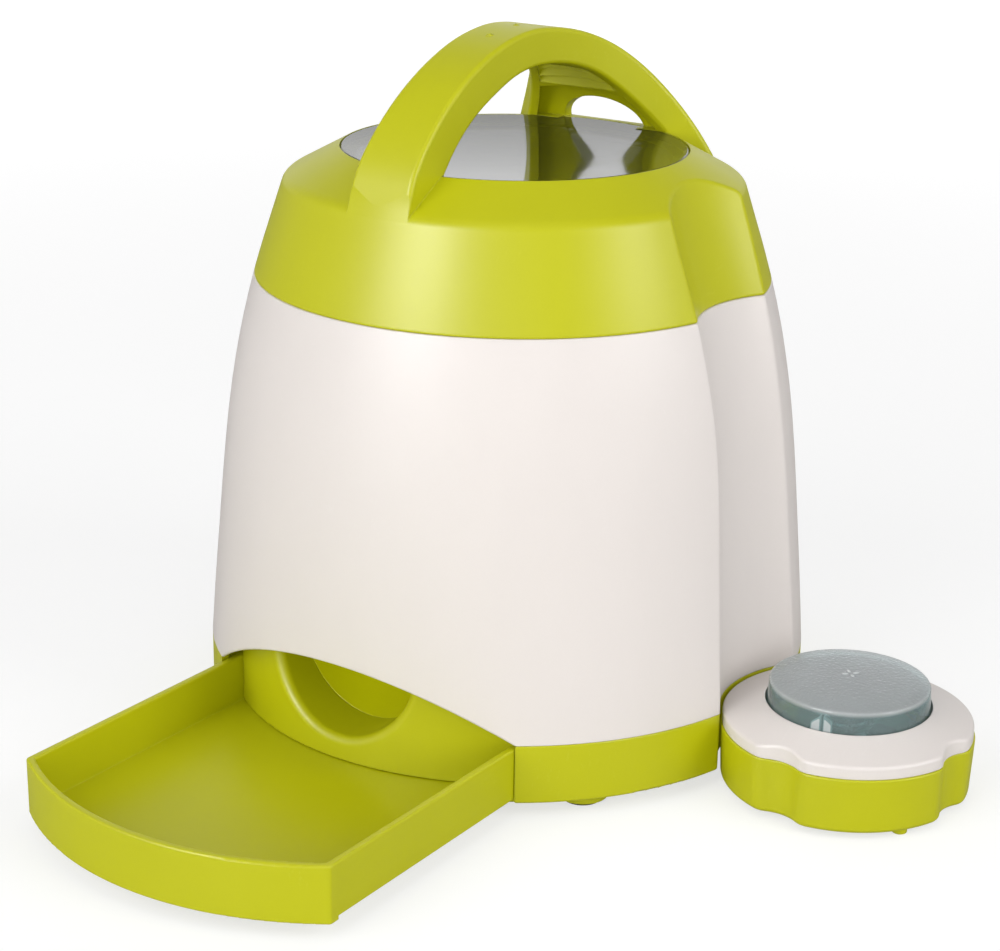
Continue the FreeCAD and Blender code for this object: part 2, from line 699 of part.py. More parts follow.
def gearbox_cover():
    cover = gearbox_block(GEARBOX_SEAM, GEARBOX_TOP)
    cover = cut(cover, cyl(5.0, 60, 70), cyl(1.0, 60, 65.3, *IDLER))
    return cut(cover, *cyls(1.5, 60, 70, BOX_SCREWS)).removeSplitter()


def output_bushing():
    return tube(5.0, 3.05, 63.2, 65.8)


def gearbox_screws():
    return screws(BOX_SCREWS, seat=GEARBOX_BOTTOM, head_end=46.4, tip=67.9, radius=1.3,
                  head_radius=2.4)


def motor_screws():
    return screws(MOTOR_SCREWS, seat=GEARBOX_FLOOR, head_end=51.1, tip=45.0, radius=1.0,
                  head_radius=1.9)


def motor():
    x, y = MOTOR
    body = merge(cyl(12.0, 24.0, 47.9, x, y), cyl(3.0, 47.0, 49.6, x, y),
                 cyl(3.4, 22.6, 24.0, x, y))
    body = fillet_where(body, 1.0, level(24.0))
    for left in (-4.2, 1.8):       # terminals
        body = body.fuse(box(x + left, x + left + 2.4, y + 11.0, y + 12.6, 28.8, 31.2))
    body = cut(body, cyl(1.05, 33.0, 50, x, y))
    return cut(body, *cyls(1.0, 44.5, 49, MOTOR_SCREWS))


# ---------------------------------------------------------------- batteries
CELL_PITCH, CELL_Z, CELL_R, CELL_L = 15.2, 12.0, 7.1, 50.0
CELL_Y = [26.4 + CELL_PITCH * i for i in range(3)]
CELLS = list(zip(CELL_Y, (1, -1, 1)))   # (y, side of the + pole)
BOARD_POSTS = [(15.5, 22.0), (29.0, 22.0), (15.5, 60.0), (29.0, 60.0)]
BOARD_Z0, BOARD_Z1 = 24.0, 25.6


def battery_box():
    body = box(-33, 33, 16.8, 66.4, 4.0, 21.4).common(cyl(72.8, 3, 22))
    body = body.cut(box(*BAY, 3.0, 19.8))
    body = add(body, *cyls(2.6, 21.0, BOARD_Z0, BOARD_POSTS))
    body = cut(body, *cyls(1.0, 20.5, 24.5, BOARD_POSTS))
    for y in CELL_Y[:-1]:
        middle = y + CELL_PITCH / 2
        body = body.fuse(box(-27.0, 27.0, middle - 0.25, middle + 0.25, 13.0, 19.9))
    return cut(body, cyl(3.3, 3.0, 13.0, *DOOR_SCREW)).removeSplitter()


def batteries():
    cells = []
    for y, side in CELLS:
        body = rod(CELL_R, (-CELL_L / 2 * side, y, CELL_Z), (23.8 * side, y, CELL_Z))
        pole = rod(2.7, (23.6 * side, y, CELL_Z), (CELL_L / 2 * side, y, CELL_Z))
        cells.append(merge(body, pole))
    return group(*cells)


def battery_contacts():
    """Plate and stud at each + pole, plate and hollow conical spring at each - pole."""
    contacts = []
    for y, side in CELLS:
        def cone(radius0, radius1, length, x):
            return Part.makeCone(radius0, radius1, length, Vector(x * side, y, CELL_Z),
                                 Vector(side, 0, 0))

        x0, x1 = sorted((28.9 * side, 29.4 * side))
        plate = box(x0, x1, y - 4.5, y + 4.5, CELL_Z - 5, CELL_Z + 5)
        contacts.append(plate.fuse(cone(2.0, 3.0, 3.8, 25.05)))
        plate = box(-x1, -x0, y - 6, y + 6, CELL_Z - 5.6, CELL_Z + 5.6)
        spring = cone(5.4, 3.2, 3.6, -29.0).cut(cone(4.6, 2.4, 3.6, -29.0))
        contacts.append(plate.fuse(spring))
    return group(*contacts)


def battery_door():
    gap = 0.3
    x, half_tab = DOOR_SCREW[0], TAB_W - gap
    door = box(-DOOR_X + gap, DOOR_X - gap, DOOR_Y0 + gap, DOOR_Y1 - gap, PLATE_BOTTOM, 3.65)
    door = door.fuse(box(x - half_tab, x + half_tab, DOOR_Y1 - 2, 71.1, PLATE_BOTTOM, 2.95))
    door = cut(door, cyl(1.7, 1.0, 4.0, *DOOR_SCREW), cyl(2.9, 1.0, 2.15, *DOOR_SCREW))
    for i in range(9):             # grip grooves
        x = -12 + 3.0 * i
        door = door.cut(box(x, x + 1.4, 24.0, 34.0, 1.7, 2.2))
    return door.removeSplitter()


def battery_door_screw():
    return screws([DOOR_SCREW], seat=2.15, head_end=1.15, tip=11.0, radius=1.3,
                  head_radius=2.6)


# ---------------------------------------------------------------- electronics in the base
def main_pcb():
    board = box(11.5, 48.0, 18.5, 54.0, BOARD_Z0, BOARD_Z1)
    board = board.fuse(box(11.5, 34.0, 54.0, 64.0, BOARD_Z0, BOARD_Z1))
    board = board.cut(box(46, 60, 10, 24, 20, 30)).common(inner(22, 28, WALL + 1.0))
    board = board.cut(cyl(5.6, 20, 30, *FEET[0]))
    return cut(board, *cyls(1.2, 20, 30, BOARD_POSTS)).removeSplitter()


def pcb_screws():
    return screws(BOARD_POSTS, seat=BOARD_Z1, head_end=26.8, tip=21.6, radius=1.0,
                  head_radius=1.9)


def pcb_components():
    top = BOARD_Z1
    socket = box(19, 25, 55, 61, top, 30.5).cut(box(20, 24, 56, 62, 27, 31))
    return group(box(36, 46, 28, 38, top, 27.4), box(20, 28, 30, 42, top, 28.4),
                 cyl(3.1, top, 33.0, 41, 42.5), cyl(2.5, top, 31.0, 32, 46),
                 box(16, 24, 45, 52, top, 31.0), box(30, 33, 30, 36, top, 26.4), socket)


def speaker():
    body = merge(cyl(9.3, 6.2, 9.6, *SPEAKER), cyl(6.0, 9.6, 12.6, *SPEAKER))
    return body.cut(cyl(7.4, 6.0, 7.2, *SPEAKER))


def power_switch():
    pins = [box(x, x + 1, 66.9, 70.3, 10, 12) for x in (-6, 5, -0.5)]
    return merge(box(-9.0, 9.0, 70.2, 76.4, 7.0, 16.0), *pins)


def power_switch_knob():
    rear = 81.0
    knob = box(-4.8, -0.8, 76.45, rear, 10.0, 14.0)
    knob = fillet_where(knob, 0.5, lambda e: abs(e.BoundBox.YMin - rear) < 0.01)
    for i in range(3):
        knob = knob.cut(box(-4.1 + 1.1 * i, -3.6 + 1.1 * i, 80.6, 82.0, 9, 15))
    return knob


def antenna_wire():
    return wire([(38.0, 50.5, 25.85), (38.5, 50.5, 34), (44, 43, 44), (50, 35, 56),
                 (52, 31, 70), (51.5, 30, 86)], 0.7)


def motor_leads():
    x, y = MOTOR
    routes = [
        [(x - 3, y + 13.3, 30.0), (x - 1, y + 16, 31.0), (4, 47, 33), (10, 50, 36),
         (16, 49.5, 35), (18.5, 48.5, 31.6)],
        [(x + 3, y + 13.3, 30.0), (x + 5, y + 15, 31.5), (5, 44, 34), (11, 46.5, 37),
         (18, 47.0, 36), (21.5, 48.5, 31.6)]]
    return group(*[wire(route, 0.55) for route in routes])


def speaker_leads():
    return wire([(-44, 34, 12.95), (-42, 36, 19), (-36, 43, 25), (-14, 56, 25),
                 (6, 62, 28), (20.6, 60.0, 34.0), (22, 58.0, 30.6)], 0.5)


# ---------------------------------------------------------------- handle
# side profile (y, z) from the front foot over the top to the rear feet, before the
# rear half is shifted back
HANDLE_OUTER = [
    (-60.3, 139.0), (-59.5, 141.4), (-58.85, 143.6), (-58.15, 145.8), (-57.25, 148.4),
    (-55.9, 151.4), (-53.6, 154.9), (-48.7, 160.4), (-42.7, 165.7), (-35.6, 170.6),
    (-26.5, 175.3), (-17.3, 178.6), (-9, 180.3), (-1.5, 180.9), (5.3, 180.5),
    (16, 178.2), (25.2, 174.0), (32.7, 168.1), (39, 160.3), (43.5, 152.4),
    (46.8, 144.4), (48.6, 138.5)]
HANDLE_INNER = [
    (-46.5, 144.5), (-42.3, 150.2), (-39.3, 153.8), (-34.4, 158.4), (-27.7, 163.0),
    (-19.6, 166.9), (-11.9, 169.8), (-4.9, 171.2), (0.8, 171.5), (7.9, 171.0),
    (14.4, 169.5), (20.3, 166.9), (25.5, 163.2), (30.2, 158.9), (33.7, 154.9),
    (37.0, 150.5), (40.5, 144.5)]
HANDLE_REAR_SHIFT = 2.2
# (radius, z) of the turned form that the front leg's face runs into, opening upwards
HANDLE_TRIM = [
    (61.9, 134), (60.72, 137.6), (59.5, 141.4), (58.85, 143.5), (58.25, 145.7),
    (57.85, 148.0), (57.8, 150.5), (58.4, 153.8), (60.2, 158), (64.5, 166), (70, 175)]
HANDLE_FRONT_Y, HANDLE_WAIST_Y, HANDLE_FLARE_Y, HANDLE_END_Y = -75.0, -20.0, 51.5, 60.0
POCKET_FLOOR = 150.6
POCKET_STEPS = [(29.5, 164.5), (27.1, 166.6), (25.4, 168.7)]   # (rear y, ceiling height)
POCKET_REAR = [(20.0, 150.6), (43.4, 150.6), (41.1, 154.6), (38.8, 158.6), (36.8, 161.4),
               (20.0, 161.4)]      # (y, z)
POCKET_REAR_TOP = 161.4
CEILING_R = 62.0


def rear_shift(y):
    blend = min(1.0, max(0.0, y / 25.0))
    return HANDLE_REAR_SHIFT * blend * blend * (3 - 2 * blend)


def half_width(y):
    y = y - rear_shift(y)
    flare = 24.8 * (max(0.0, y + 20.0) / 66.5) ** 3.66
    return 7.9 + flare + 1.2 * (max(0.0, -20.0 - y) / 39.5) ** 2


def plan_prism(inset, z0, z1):
    """The handle's shape seen from above, waisted and flaring to the rear."""
    front, waist, flare, end = HANDLE_FRONT_Y, HANDLE_WAIST_Y, HANDLE_FLARE_Y, HANDLE_END_Y
    stations = [front + (waist - front) * i / 6 for i in range(6)]
    stations += [waist + (flare - waist) * i / 14 for i in range(15)]
    right = [(half_width(y) - inset, y, z0) for y in stations]
    left = [(-x, y, z) for x, y, z in reversed(right)]
    wide = right[-1][0]
    rear = chain(right[-1], (wide, end, z0), (-wide, end, z0), left[0])
    edges = [spline(right)] + rear + [spline(left), line(left[-1], right[0])]
    return face_of(edges).extrude(Vector(0, 0, z1 - z0))


def side_prism(half=40.0):
    """The handle's side profile, drawn out along X."""
    outer = [(-half, y + rear_shift(y), z) for y, z in HANDLE_OUTER]
    inside = [(-half, y + rear_shift(y), z) for y, z in reversed(HANDLE_INNER)]
    edges = [spline(outer), line(outer[-1], inside[0]),
             spline(inside), line(inside[-1], outer[0])]
    return face_of(edges).extrude(Vector(2 * half, 0, 0))


def handle_trim():
    radius, top = HANDLE_TRIM[-1]
    edges = chain((63.1, 0, 130), (61.9, 0, 134))
    edges += [spline([(r, 0, z) for r, z in HANDLE_TRIM])]
    edges += chain((radius, 0, top), (radius, 0, 190))
    return revolve_side((63.1, 130), edges, (radius, 190))


def ceiling(apex):
    return rod(CEILING_R, (0, 0, apex - CEILING_R), (0, 70, apex - CEILING_R))


def pocket_tools():
    """Stepped pocket between the rear legs."""
    inset = plan_prism(3.0, 140, 180)
    tools = [box(-40, 40, 8.0, rear, POCKET_FLOOR, 175.0).common(ceiling(apex)).common(inset)
             for rear, apex in POCKET_STEPS]
    rear = poly_face([(-40, y, z) for y, z in POCKET_REAR]).extrude(Vector(80, 0, 0))
    return tools + [rear.common(ceiling(POCKET_REAR_TOP)).common(inset)]


def rear_arch():
    """Half-ellipse opening standing on the window rim plane."""
    half, rise, spring_z, bottom, y0, y1 = 12.4, 7.3, 150.4, 147.0, 15.0, 60.0
    arc = [(-half * math.cos(math.pi * i / 16), y0,
            spring_z + rise * math.sin(math.pi * i / 16)) for i in range(17)]
    edges = [line((-half, y0, bottom), (-half, y0, spring_z)), spline(arc)]
    edges += chain((half, y0, spring_z), (half, y0, bottom), (-half, y0, bottom))
    opening = face_of(edges).extrude(Vector(0, y1 - y0, 0))
    return opening.common(box(-40, 40, 0, 70, RIM_Z, 170))


def on_long_handle_edge(edge):
    bounds = edge.BoundBox
    return bounds.YLength > 20 and bounds.ZMax > 160 and edge.Length > 30


def handle():
    body = solid_of(side_prism().common(plan_prism(0.0, 130, 190)))
    body = fillet_where(body, 1.1, on_long_handle_edge)
    return cut(body.common(handle_trim()), *pocket_tools(), rear_arch())


# ---------------------------------------------------------------- lid
SEAL_R0, SEAL_R1, SEAL_BOTTOM, THROAT_BOTTOM = 52.2, 57.2, 109.3, 111.4
WINDOW_BOTTOM = 148.0


def lid_cavity():
    """Space under the lid band and shoulder, up to the window ledge."""
    bottom, top = LID_SEAM_Z - 1, 146.2
    band = band_points(bottom, 140.4, 8, WALL)
    # a point under the crease, inside the shoulder's wall
    under_r, under_z = CREASE_R - 0.4495 * WALL, CREASE_Z - 0.893 * WALL
    top_r = under_r + (top - under_z) * SHOULDER.x / SHOULDER.z
    edges = [spline(band), line(band[-1], (top_r, 0, top))]
    form = revolve_side((band[0][0], bottom), edges, (top_r, top))
    return cut(form, *recess_tools(WALL))


def lid_throat():
    """Ring hanging inside the lid, trimmed to the drum's skin."""
    ring = tube(55.4, 53.6, THROAT_BOTTOM, 145.0)
    lower = ring.common(cut(drum_slice(105, 141, WALL - 0.5), *RECESSES))
    return lower.fuse(ring.common(box(-70, 70, -70, 70, 139, 142.4)))


def lid_skirt():
    """Skirt that drops into the housing, and the ring that ties it to the band."""
    top = LID_SEAM_Z + 0.8
    inside = inner(108.0, LID_SEAM_Z + 2, WALL + 2.1)
    return (cut(inner(109.6, top, WALL + 0.35), inside),
            cut(inner(LID_SEAM_Z, top, WALL - 0.4), inside))


def lid_cap():
    lid = fillet_where(envelope_slice(LID_SEAM_Z, RIM_Z), 0.5, level(LID_SEAM_Z))
    lid = cut(lid.fuse(handle()), lid_cavity())
    lid = add(lid, lid_throat(), *lid_skirt())
    lid = cut(lid, *RECESSES)
    # seat and opening of the window
    lid = cut(lid, cyl(RIM_R - 0.05, WINDOW_BOTTOM, RIM_Z + 0.001), cyl(40.5, 140, 150))
    # keep the lid itself, without loose slivers
    return max(lid.Solids, key=lambda solid: solid.Volume).removeSplitter()


def lid_window():
    """Disc, slightly dished on top."""
    radius, top, dish = RIM_R - 0.2, RIM_Z - 0.05, 1.0
    window = cyl(radius, WINDOW_BOTTOM, top)
    window = window.makeChamfer(0.35, [e for e in window.Edges if is_level(e, top)])
    dish_r = radius - 0.6
    ball_r = (dish_r * dish_r + dish * dish) / (2 * dish)
    return cut(window, Part.makeSphere(ball_r, Vector(0, 0, top - dish + ball_r)))


def lid_seal():
    ring = tube(SEAL_R1, SEAL_R0, SEAL_BOTTOM, THROAT_BOTTOM)
    return fillet_where(ring, 0.6, level(SEAL_BOTTOM))


# ---------------------------------------------------------------- remote
PUCK_X = 103.0
PUCK_BOTTOM, PUCK_SEAM, PUCK_RIM, PUCK_TOP = 1.5, 16.0, 19.2, 22.9
PUCK_R0, PUCK_R1, PUCK_RB = 31.05, 31.7, 31.25   # at the floor, at the seam, bezel
PUCK_WALL = 1.9
NOTCHES = (-95.5, -5.5, 84.5)      # finger notches; the side that docks is plain
DOME_R, DOME_SHOULDER_R, DOME_SHOULDER_Z, DOME_TOP = 20.6, 20.0, 27.7, 30.0
BUTTON_BOTTOM = 17.0
CASE_SCREWS = [polar(24.6, degrees, PUCK_X) for degrees in (35, 145, 215, 325)]
BOARD_SCREWS = [(PUCK_X + side * 14.6, end * 9.0) for side in (1, -1) for end in (1, -1)]
REMOTE_BOARD_Z0, REMOTE_BOARD_Z1 = 14.8, 16.0
CELL_OFFSET, REMOTE_CELL_Z = 5.7, 9.2


def puck_box(x0, x1, *rest):
    return box(PUCK_X + x0, PUCK_X + x1, *rest)


def puck_turning(points):
    """Turned solid on the remote's axis from (radius, z) points."""
    turning = poly_face([(r, 0, z) for r, z in points]).revolve(ORIGIN, UP, 360)
    turning.translate(Vector(PUCK_X, 0, 0))
    return turning


def cut_notches(shape, grow=0.0):
    return cut(shape, *cyls(9.5 + grow, -1, 30, [polar(38.3, a, PUCK_X) for a in NOTCHES]))


def on_notch_corner(edge):
    bounds = edge.BoundBox
    if bounds.ZLength < 1.5 or bounds.XLength > 2 or bounds.YLength > 2:
        return False
    middle = mid_point(edge)
    return 28 < math.hypot(middle.x - PUCK_X, middle.y) < 32.5


def notched(shape):
    """Outer form with the finger notches and soft corners beside them."""
    return fillet_where(solid_of(cut_notches(shape)), 5.0, on_notch_corner)


def remote_base():
    puck = notched(puck_turning([(0, PUCK_BOTTOM), (PUCK_R0, PUCK_BOTTOM),
                                 (PUCK_R1, PUCK_SEAM), (0, PUCK_SEAM)]))
    puck = fillet_where(puck, 1.4, level(PUCK_BOTTOM))
    puck = fillet_where(puck, 0.35, level(PUCK_SEAM))
    hollow = puck_turning([(0, 3.5), (PUCK_R0 - PUCK_WALL, 3.5),
                           (PUCK_R1 - PUCK_WALL, PUCK_SEAM + 1), (0, PUCK_SEAM + 1)])
    puck = puck.cut(cut_notches(hollow, PUCK_WALL))
    for foot in cyls(1.9, 0.0, 2.2, [polar(28.0, a, PUCK_X) for a in (-35, 35, 145, 215)]):
        puck = puck.fuse(fillet_where(foot, 0.4, level(0)))
    puck = add(puck, *cyls(2.7, 3.0, 13.8, CASE_SCREWS))
    for x, y in CASE_SCREWS:
        puck = cut(puck, cyl(1.2, 1, 15, x, y), cyl(2.2, 1.0, 3.0, x, y))
    puck = add(puck, *cyls(2.2, 3.0, REMOTE_BOARD_Z0, BOARD_SCREWS))
    puck = cut(puck, *cyls(0.9, 5.0, 15, BOARD_SCREWS))
    # the battery opening cuts into the board posts' feet; their upper parts are renewed
    puck = cut(puck, puck_box(-12.2, 12.2, -24.2, 24.2, 0.5, 4.0))
    puck = add(puck, *[tube(2.2, 0.9, 5.0, REMOTE_BOARD_Z0, x, y) for x, y in BOARD_SCREWS])
    return puck.removeSplitter()


def remote_battery_door():
    door = puck_box(-12.0, 12.0, -24.0, 24.0, 1.7, 3.4)
    for i in range(5):             # grip grooves
        door = door.cut(puck_box(-6, 6, 12 + 2.0 * i, 12.9 + 2.0 * i, 1.6, 2.1))
    return door


def on_bezel_rim(edge):
    middle = mid_point(edge)
    return (math.hypot(middle.x - PUCK_X, middle.y) > 27 and middle.z > 18.5
            and edge.BoundBox.ZLength < 1.2)


def remote_bezel():
    bezel = notched(puck_turning([(0, PUCK_SEAM), (PUCK_RB, PUCK_SEAM), (PUCK_RB, PUCK_RIM),
                                  (DOME_R + 0.1, PUCK_TOP), (0, PUCK_TOP)]))
    bezel = fillet_where(bezel, 0.9, on_bezel_rim)
    bezel = fillet_where(bezel, 0.3, level(PUCK_SEAM))
    inside_r, hole_r = PUCK_RB - 2.0, DOME_R + 0.2
    hollow = puck_turning([(0, 14), (inside_r, 14), (inside_r, 17.6), (23.5, 19.3),
                           (hole_r, 19.3), (hole_r, 30), (0, 30)])
    bezel = bezel.cut(cut_notches(hollow, 2.0))
    # lip that drops into the base, clear of the screw posts
    lip = puck_turning([(27.2, 14.6), (28.3, 14.6), (28.3, 17.5), (27.2, 18.0)])
    lip = cut(cut_notches(lip, 3.6), *cyls(3.2, 10, 30, CASE_SCREWS))
    bezel = bezel.fuse(lip.common(box(0, 200, -60, 60, 14.6, 17.9)))
    tie = puck_turning([(27.2, 16.3), (PUCK_RB - 1.5, 16.3), (PUCK_RB - 1.5, 17.9),
                        (27.2, 18.6)])
    bezel = bezel.fuse(cut_notches(tie, 2.0))
    bezel = add(bezel, *cyls(2.2, 13.8, 19.6, CASE_SCREWS))
    return cut(bezel, *cyls(1.0, 13.0, 18.6, CASE_SCREWS)).removeSplitter()


def remote_screws():
    return screws(CASE_SCREWS, seat=3.0, head_end=1.9, tip=18.0, radius=1.0, head_radius=1.9)


def dome_form(inset):
    """Solid dome about the Z axis: tapered side, rounded shoulder and low crown."""
    foot_r, side_r, top = DOME_R - inset, DOME_SHOULDER_R - inset, DOME_TOP - inset
    side_z = DOME_SHOULDER_Z - inset * 0.9
    rise = (top - side_z) / (DOME_TOP - DOME_SHOULDER_Z)
    crown_start = (side_r - 1.2 + inset * 0.3, 0, side_z + 0.75)
    shoulder = Part.Arc(Vector(side_r, 0, side_z), Vector(side_r - 0.22, 0, side_z + 0.52),
                        Vector(*crown_start)).toShape()
    crown = spline([crown_start, (side_r * 0.72, 0, side_z + 1.62 * rise),
                    (side_r * 0.4, 0, side_z + 2.08 * rise), (0, 0, top)])
    side = chain((0, 0, BUTTON_BOTTOM), (foot_r, 0, BUTTON_BOTTOM), (side_r, 0, side_z))
    return revolve_edges(side + [shoulder, crown, line((0, 0, top), (0, 0, BUTTON_BOTTOM))])


def remote_button():
    """Domed button with a retaining flange, a centre post and clip ribs."""
    flange_r = 19.1                # inner radius
    outside = dome_form(0.0)
    hollow = dome_form(1.5).fuse(cyl(flange_r, 16.0, 17.5))
    dome = outside.fuse(tube(21.9, flange_r, BUTTON_BOTTOM, 18.6)).cut(hollow)
    dome = dome.fuse(cyl(1.9, 21.3, 28.9).fuse(cyl(3.4, 26.5, 28.9)).common(outside))
    for degrees in (-128, -8, 112):
        clip = box(17.4, 19.6, -2.6, 2.6, BUTTON_BOTTOM, 24.6)
        clip = clip.fuse(box(17.4, 19.6, 1.0, 1.6, BUTTON_BOTTOM, 27.6))
        dome = dome.fuse(turned(clip, degrees).common(outside))
    dome = dome.removeSplitter()
    dome.translate(Vector(PUCK_X, 0, 0))
    return solid_of(dome)


def button_spring():
    """Return spring of the button, a short coil round the centre post."""
    coil_r, wire_r = 6.0, 0.35
    helix = Part.makeHelix(2.6, 10.8, coil_r)
    helix.translate(Vector(PUCK_X, 0, REMOTE_BOARD_Z1 + wire_r + 0.05))
    first = helix.Edges[0]
    start, along = (at(first.FirstParameter) for at in (first.valueAt, first.tangentAt))
    section = Part.Wire(Part.makeCircle(wire_r, start, along))
    return Part.Wire(helix.Edges).makePipeShell([section], True, True)


def remote_pcb():
    low, high = REMOTE_BOARD_Z0, REMOTE_BOARD_Z1
    board = add(cyl(17.1, low, high, PUCK_X, 0), *cyls(2.3, low, high, BOARD_SCREWS))
    board = board.common(cyl(18.6, low, high, PUCK_X, 0)).removeSplitter()
    return cut(board, *cyls(1.1, 10, 20, BOARD_SCREWS))


def remote_pcb_screws():
    return screws(BOARD_SCREWS, seat=REMOTE_BOARD_Z1, head_end=17.0, tip=11.0, radius=0.9,
                  head_radius=1.7)


def tact_switch():
    body = puck_box(-3.2, 3.2, -3.2, 3.2, REMOTE_BOARD_Z1, 19.4)
    return body.cut(cyl(1.75, 17.2, 22, PUCK_X, 0))


def tact_stem():
    return cyl(1.7, 18.8, 21.3, PUCK_X, 0)


def remote_led():
    x, y, top, radius = PUCK_X - 7.0, 7.0, 18.6, 1.5
    return merge(cyl(radius, REMOTE_BOARD_Z1, top, x, y),
                 Part.makeSphere(radius, Vector(x, y, top)))


def remote_chip():
    return group(puck_box(7.2, 12.2, -2.5, 2.5, REMOTE_BOARD_Z1, 17.6),
                 puck_box(-2, 2, -14.5, -11.5, REMOTE_BOARD_Z1, 17.0))


def remote_batteries():
    cells = []
    for side in (1, -1):
        x, z = PUCK_X + side * CELL_OFFSET, REMOTE_CELL_Z
        body = rod(5.1, (x, -21.0 * side, z), (x, 20.0 * side, z))
        cells.append(merge(body, rod(1.9, (x, 19.9 * side, z), (x, 21.0 * side, z))))
    return group(*cells)


def remote_contacts():
    return group(*[puck_box(x - 3.5, x + 3.5, y, y + 0.5, 5.7, 13.0)
                   for x in (CELL_OFFSET, -CELL_OFFSET) for y in (21.1, -21.6)])


# ---------------------------------------------------------------- output
# each function's name is the name of its file
PIECES = [
    base_shell, rubber_feet, outer_housing, food_tray, outlet_panel, chute, hopper,
    drop_guard, metering_disc, output_gear, disc_screw, idler_gear, idler_pin,
    motor_pinion, motor_shaft, gearbox_base, gearbox_cover, output_bushing,
    gearbox_screws, motor_screws, motor, hopper_screws, housing_screws, index_switch,
    battery_box, batteries, battery_contacts, battery_door, battery_door_screw,
    main_pcb, pcb_screws, pcb_components, speaker, power_switch, power_switch_knob,
    antenna_wire, motor_leads, speaker_leads, lid_cap, lid_window, lid_seal,
    remote_base, remote_battery_door, remote_bezel, remote_screws, remote_button,
    remote_pcb, remote_pcb_screws, tact_switch, tact_stem, remote_led, remote_chip,
    remote_batteries, remote_contacts, button_spring]

os.makedirs("parts", exist_ok=True)
for build in PIECES:
    piece = build()
    if piece.ShapeType == "Compound":
        piece = solid_of(piece)
    piece.translate(Vector(-FOOTPRINT_X, -FOOTPRINT_Y, 0))
    piece.exportStep("parts/%s.step" % build.__name__)
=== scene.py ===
# A drum-shaped unit in lime and white plastic, with a chute and a windowed lid, and beside it a
# round remote with a translucent push-button. The frame is in metres with +Z up and the floor
# at z = 0; the camera looks from the -Y, +X side. Lengths marked mm are multiplied by MM.
import math
from functools import cached_property

import bmesh
import bpy
import numpy as np
from mathutils import Matrix, Vector, noise


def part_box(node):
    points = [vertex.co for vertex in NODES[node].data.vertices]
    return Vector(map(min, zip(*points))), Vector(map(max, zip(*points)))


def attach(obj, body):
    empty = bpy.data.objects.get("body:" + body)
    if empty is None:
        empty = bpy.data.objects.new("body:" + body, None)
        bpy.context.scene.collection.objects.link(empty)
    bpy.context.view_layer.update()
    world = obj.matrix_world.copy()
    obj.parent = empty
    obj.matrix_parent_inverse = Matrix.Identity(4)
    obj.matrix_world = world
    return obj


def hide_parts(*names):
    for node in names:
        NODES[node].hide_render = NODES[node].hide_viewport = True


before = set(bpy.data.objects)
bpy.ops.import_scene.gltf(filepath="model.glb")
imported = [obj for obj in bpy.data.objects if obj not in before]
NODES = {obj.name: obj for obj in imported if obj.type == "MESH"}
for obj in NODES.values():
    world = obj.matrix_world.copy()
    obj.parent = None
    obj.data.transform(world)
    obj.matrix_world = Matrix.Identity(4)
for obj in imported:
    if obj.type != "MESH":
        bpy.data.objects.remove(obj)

MM = 0.001
scene = bpy.context.scene
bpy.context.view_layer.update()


def plan_centre(node_name):
    """Centre of a piece seen from above, at floor height."""
    lo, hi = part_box(node_name)
    return Vector(((lo.x + hi.x) / 2, (lo.y + hi.y) / 2, 0.0))


DRUM = plan_centre("lid_window")
REMOTE = plan_centre("remote_button")

# The push-button, shared by its shell and its clip ribs. mm, radii from the remote's axis
SHOULDER_Z = 27.7
FOOT_Z = 17.0
SKIRT_TOP_R = 20.0
SKIRT_FOOT_R = 20.6
SKIRT_MEAN_R = (SKIRT_TOP_R + SKIRT_FOOT_R) / 2


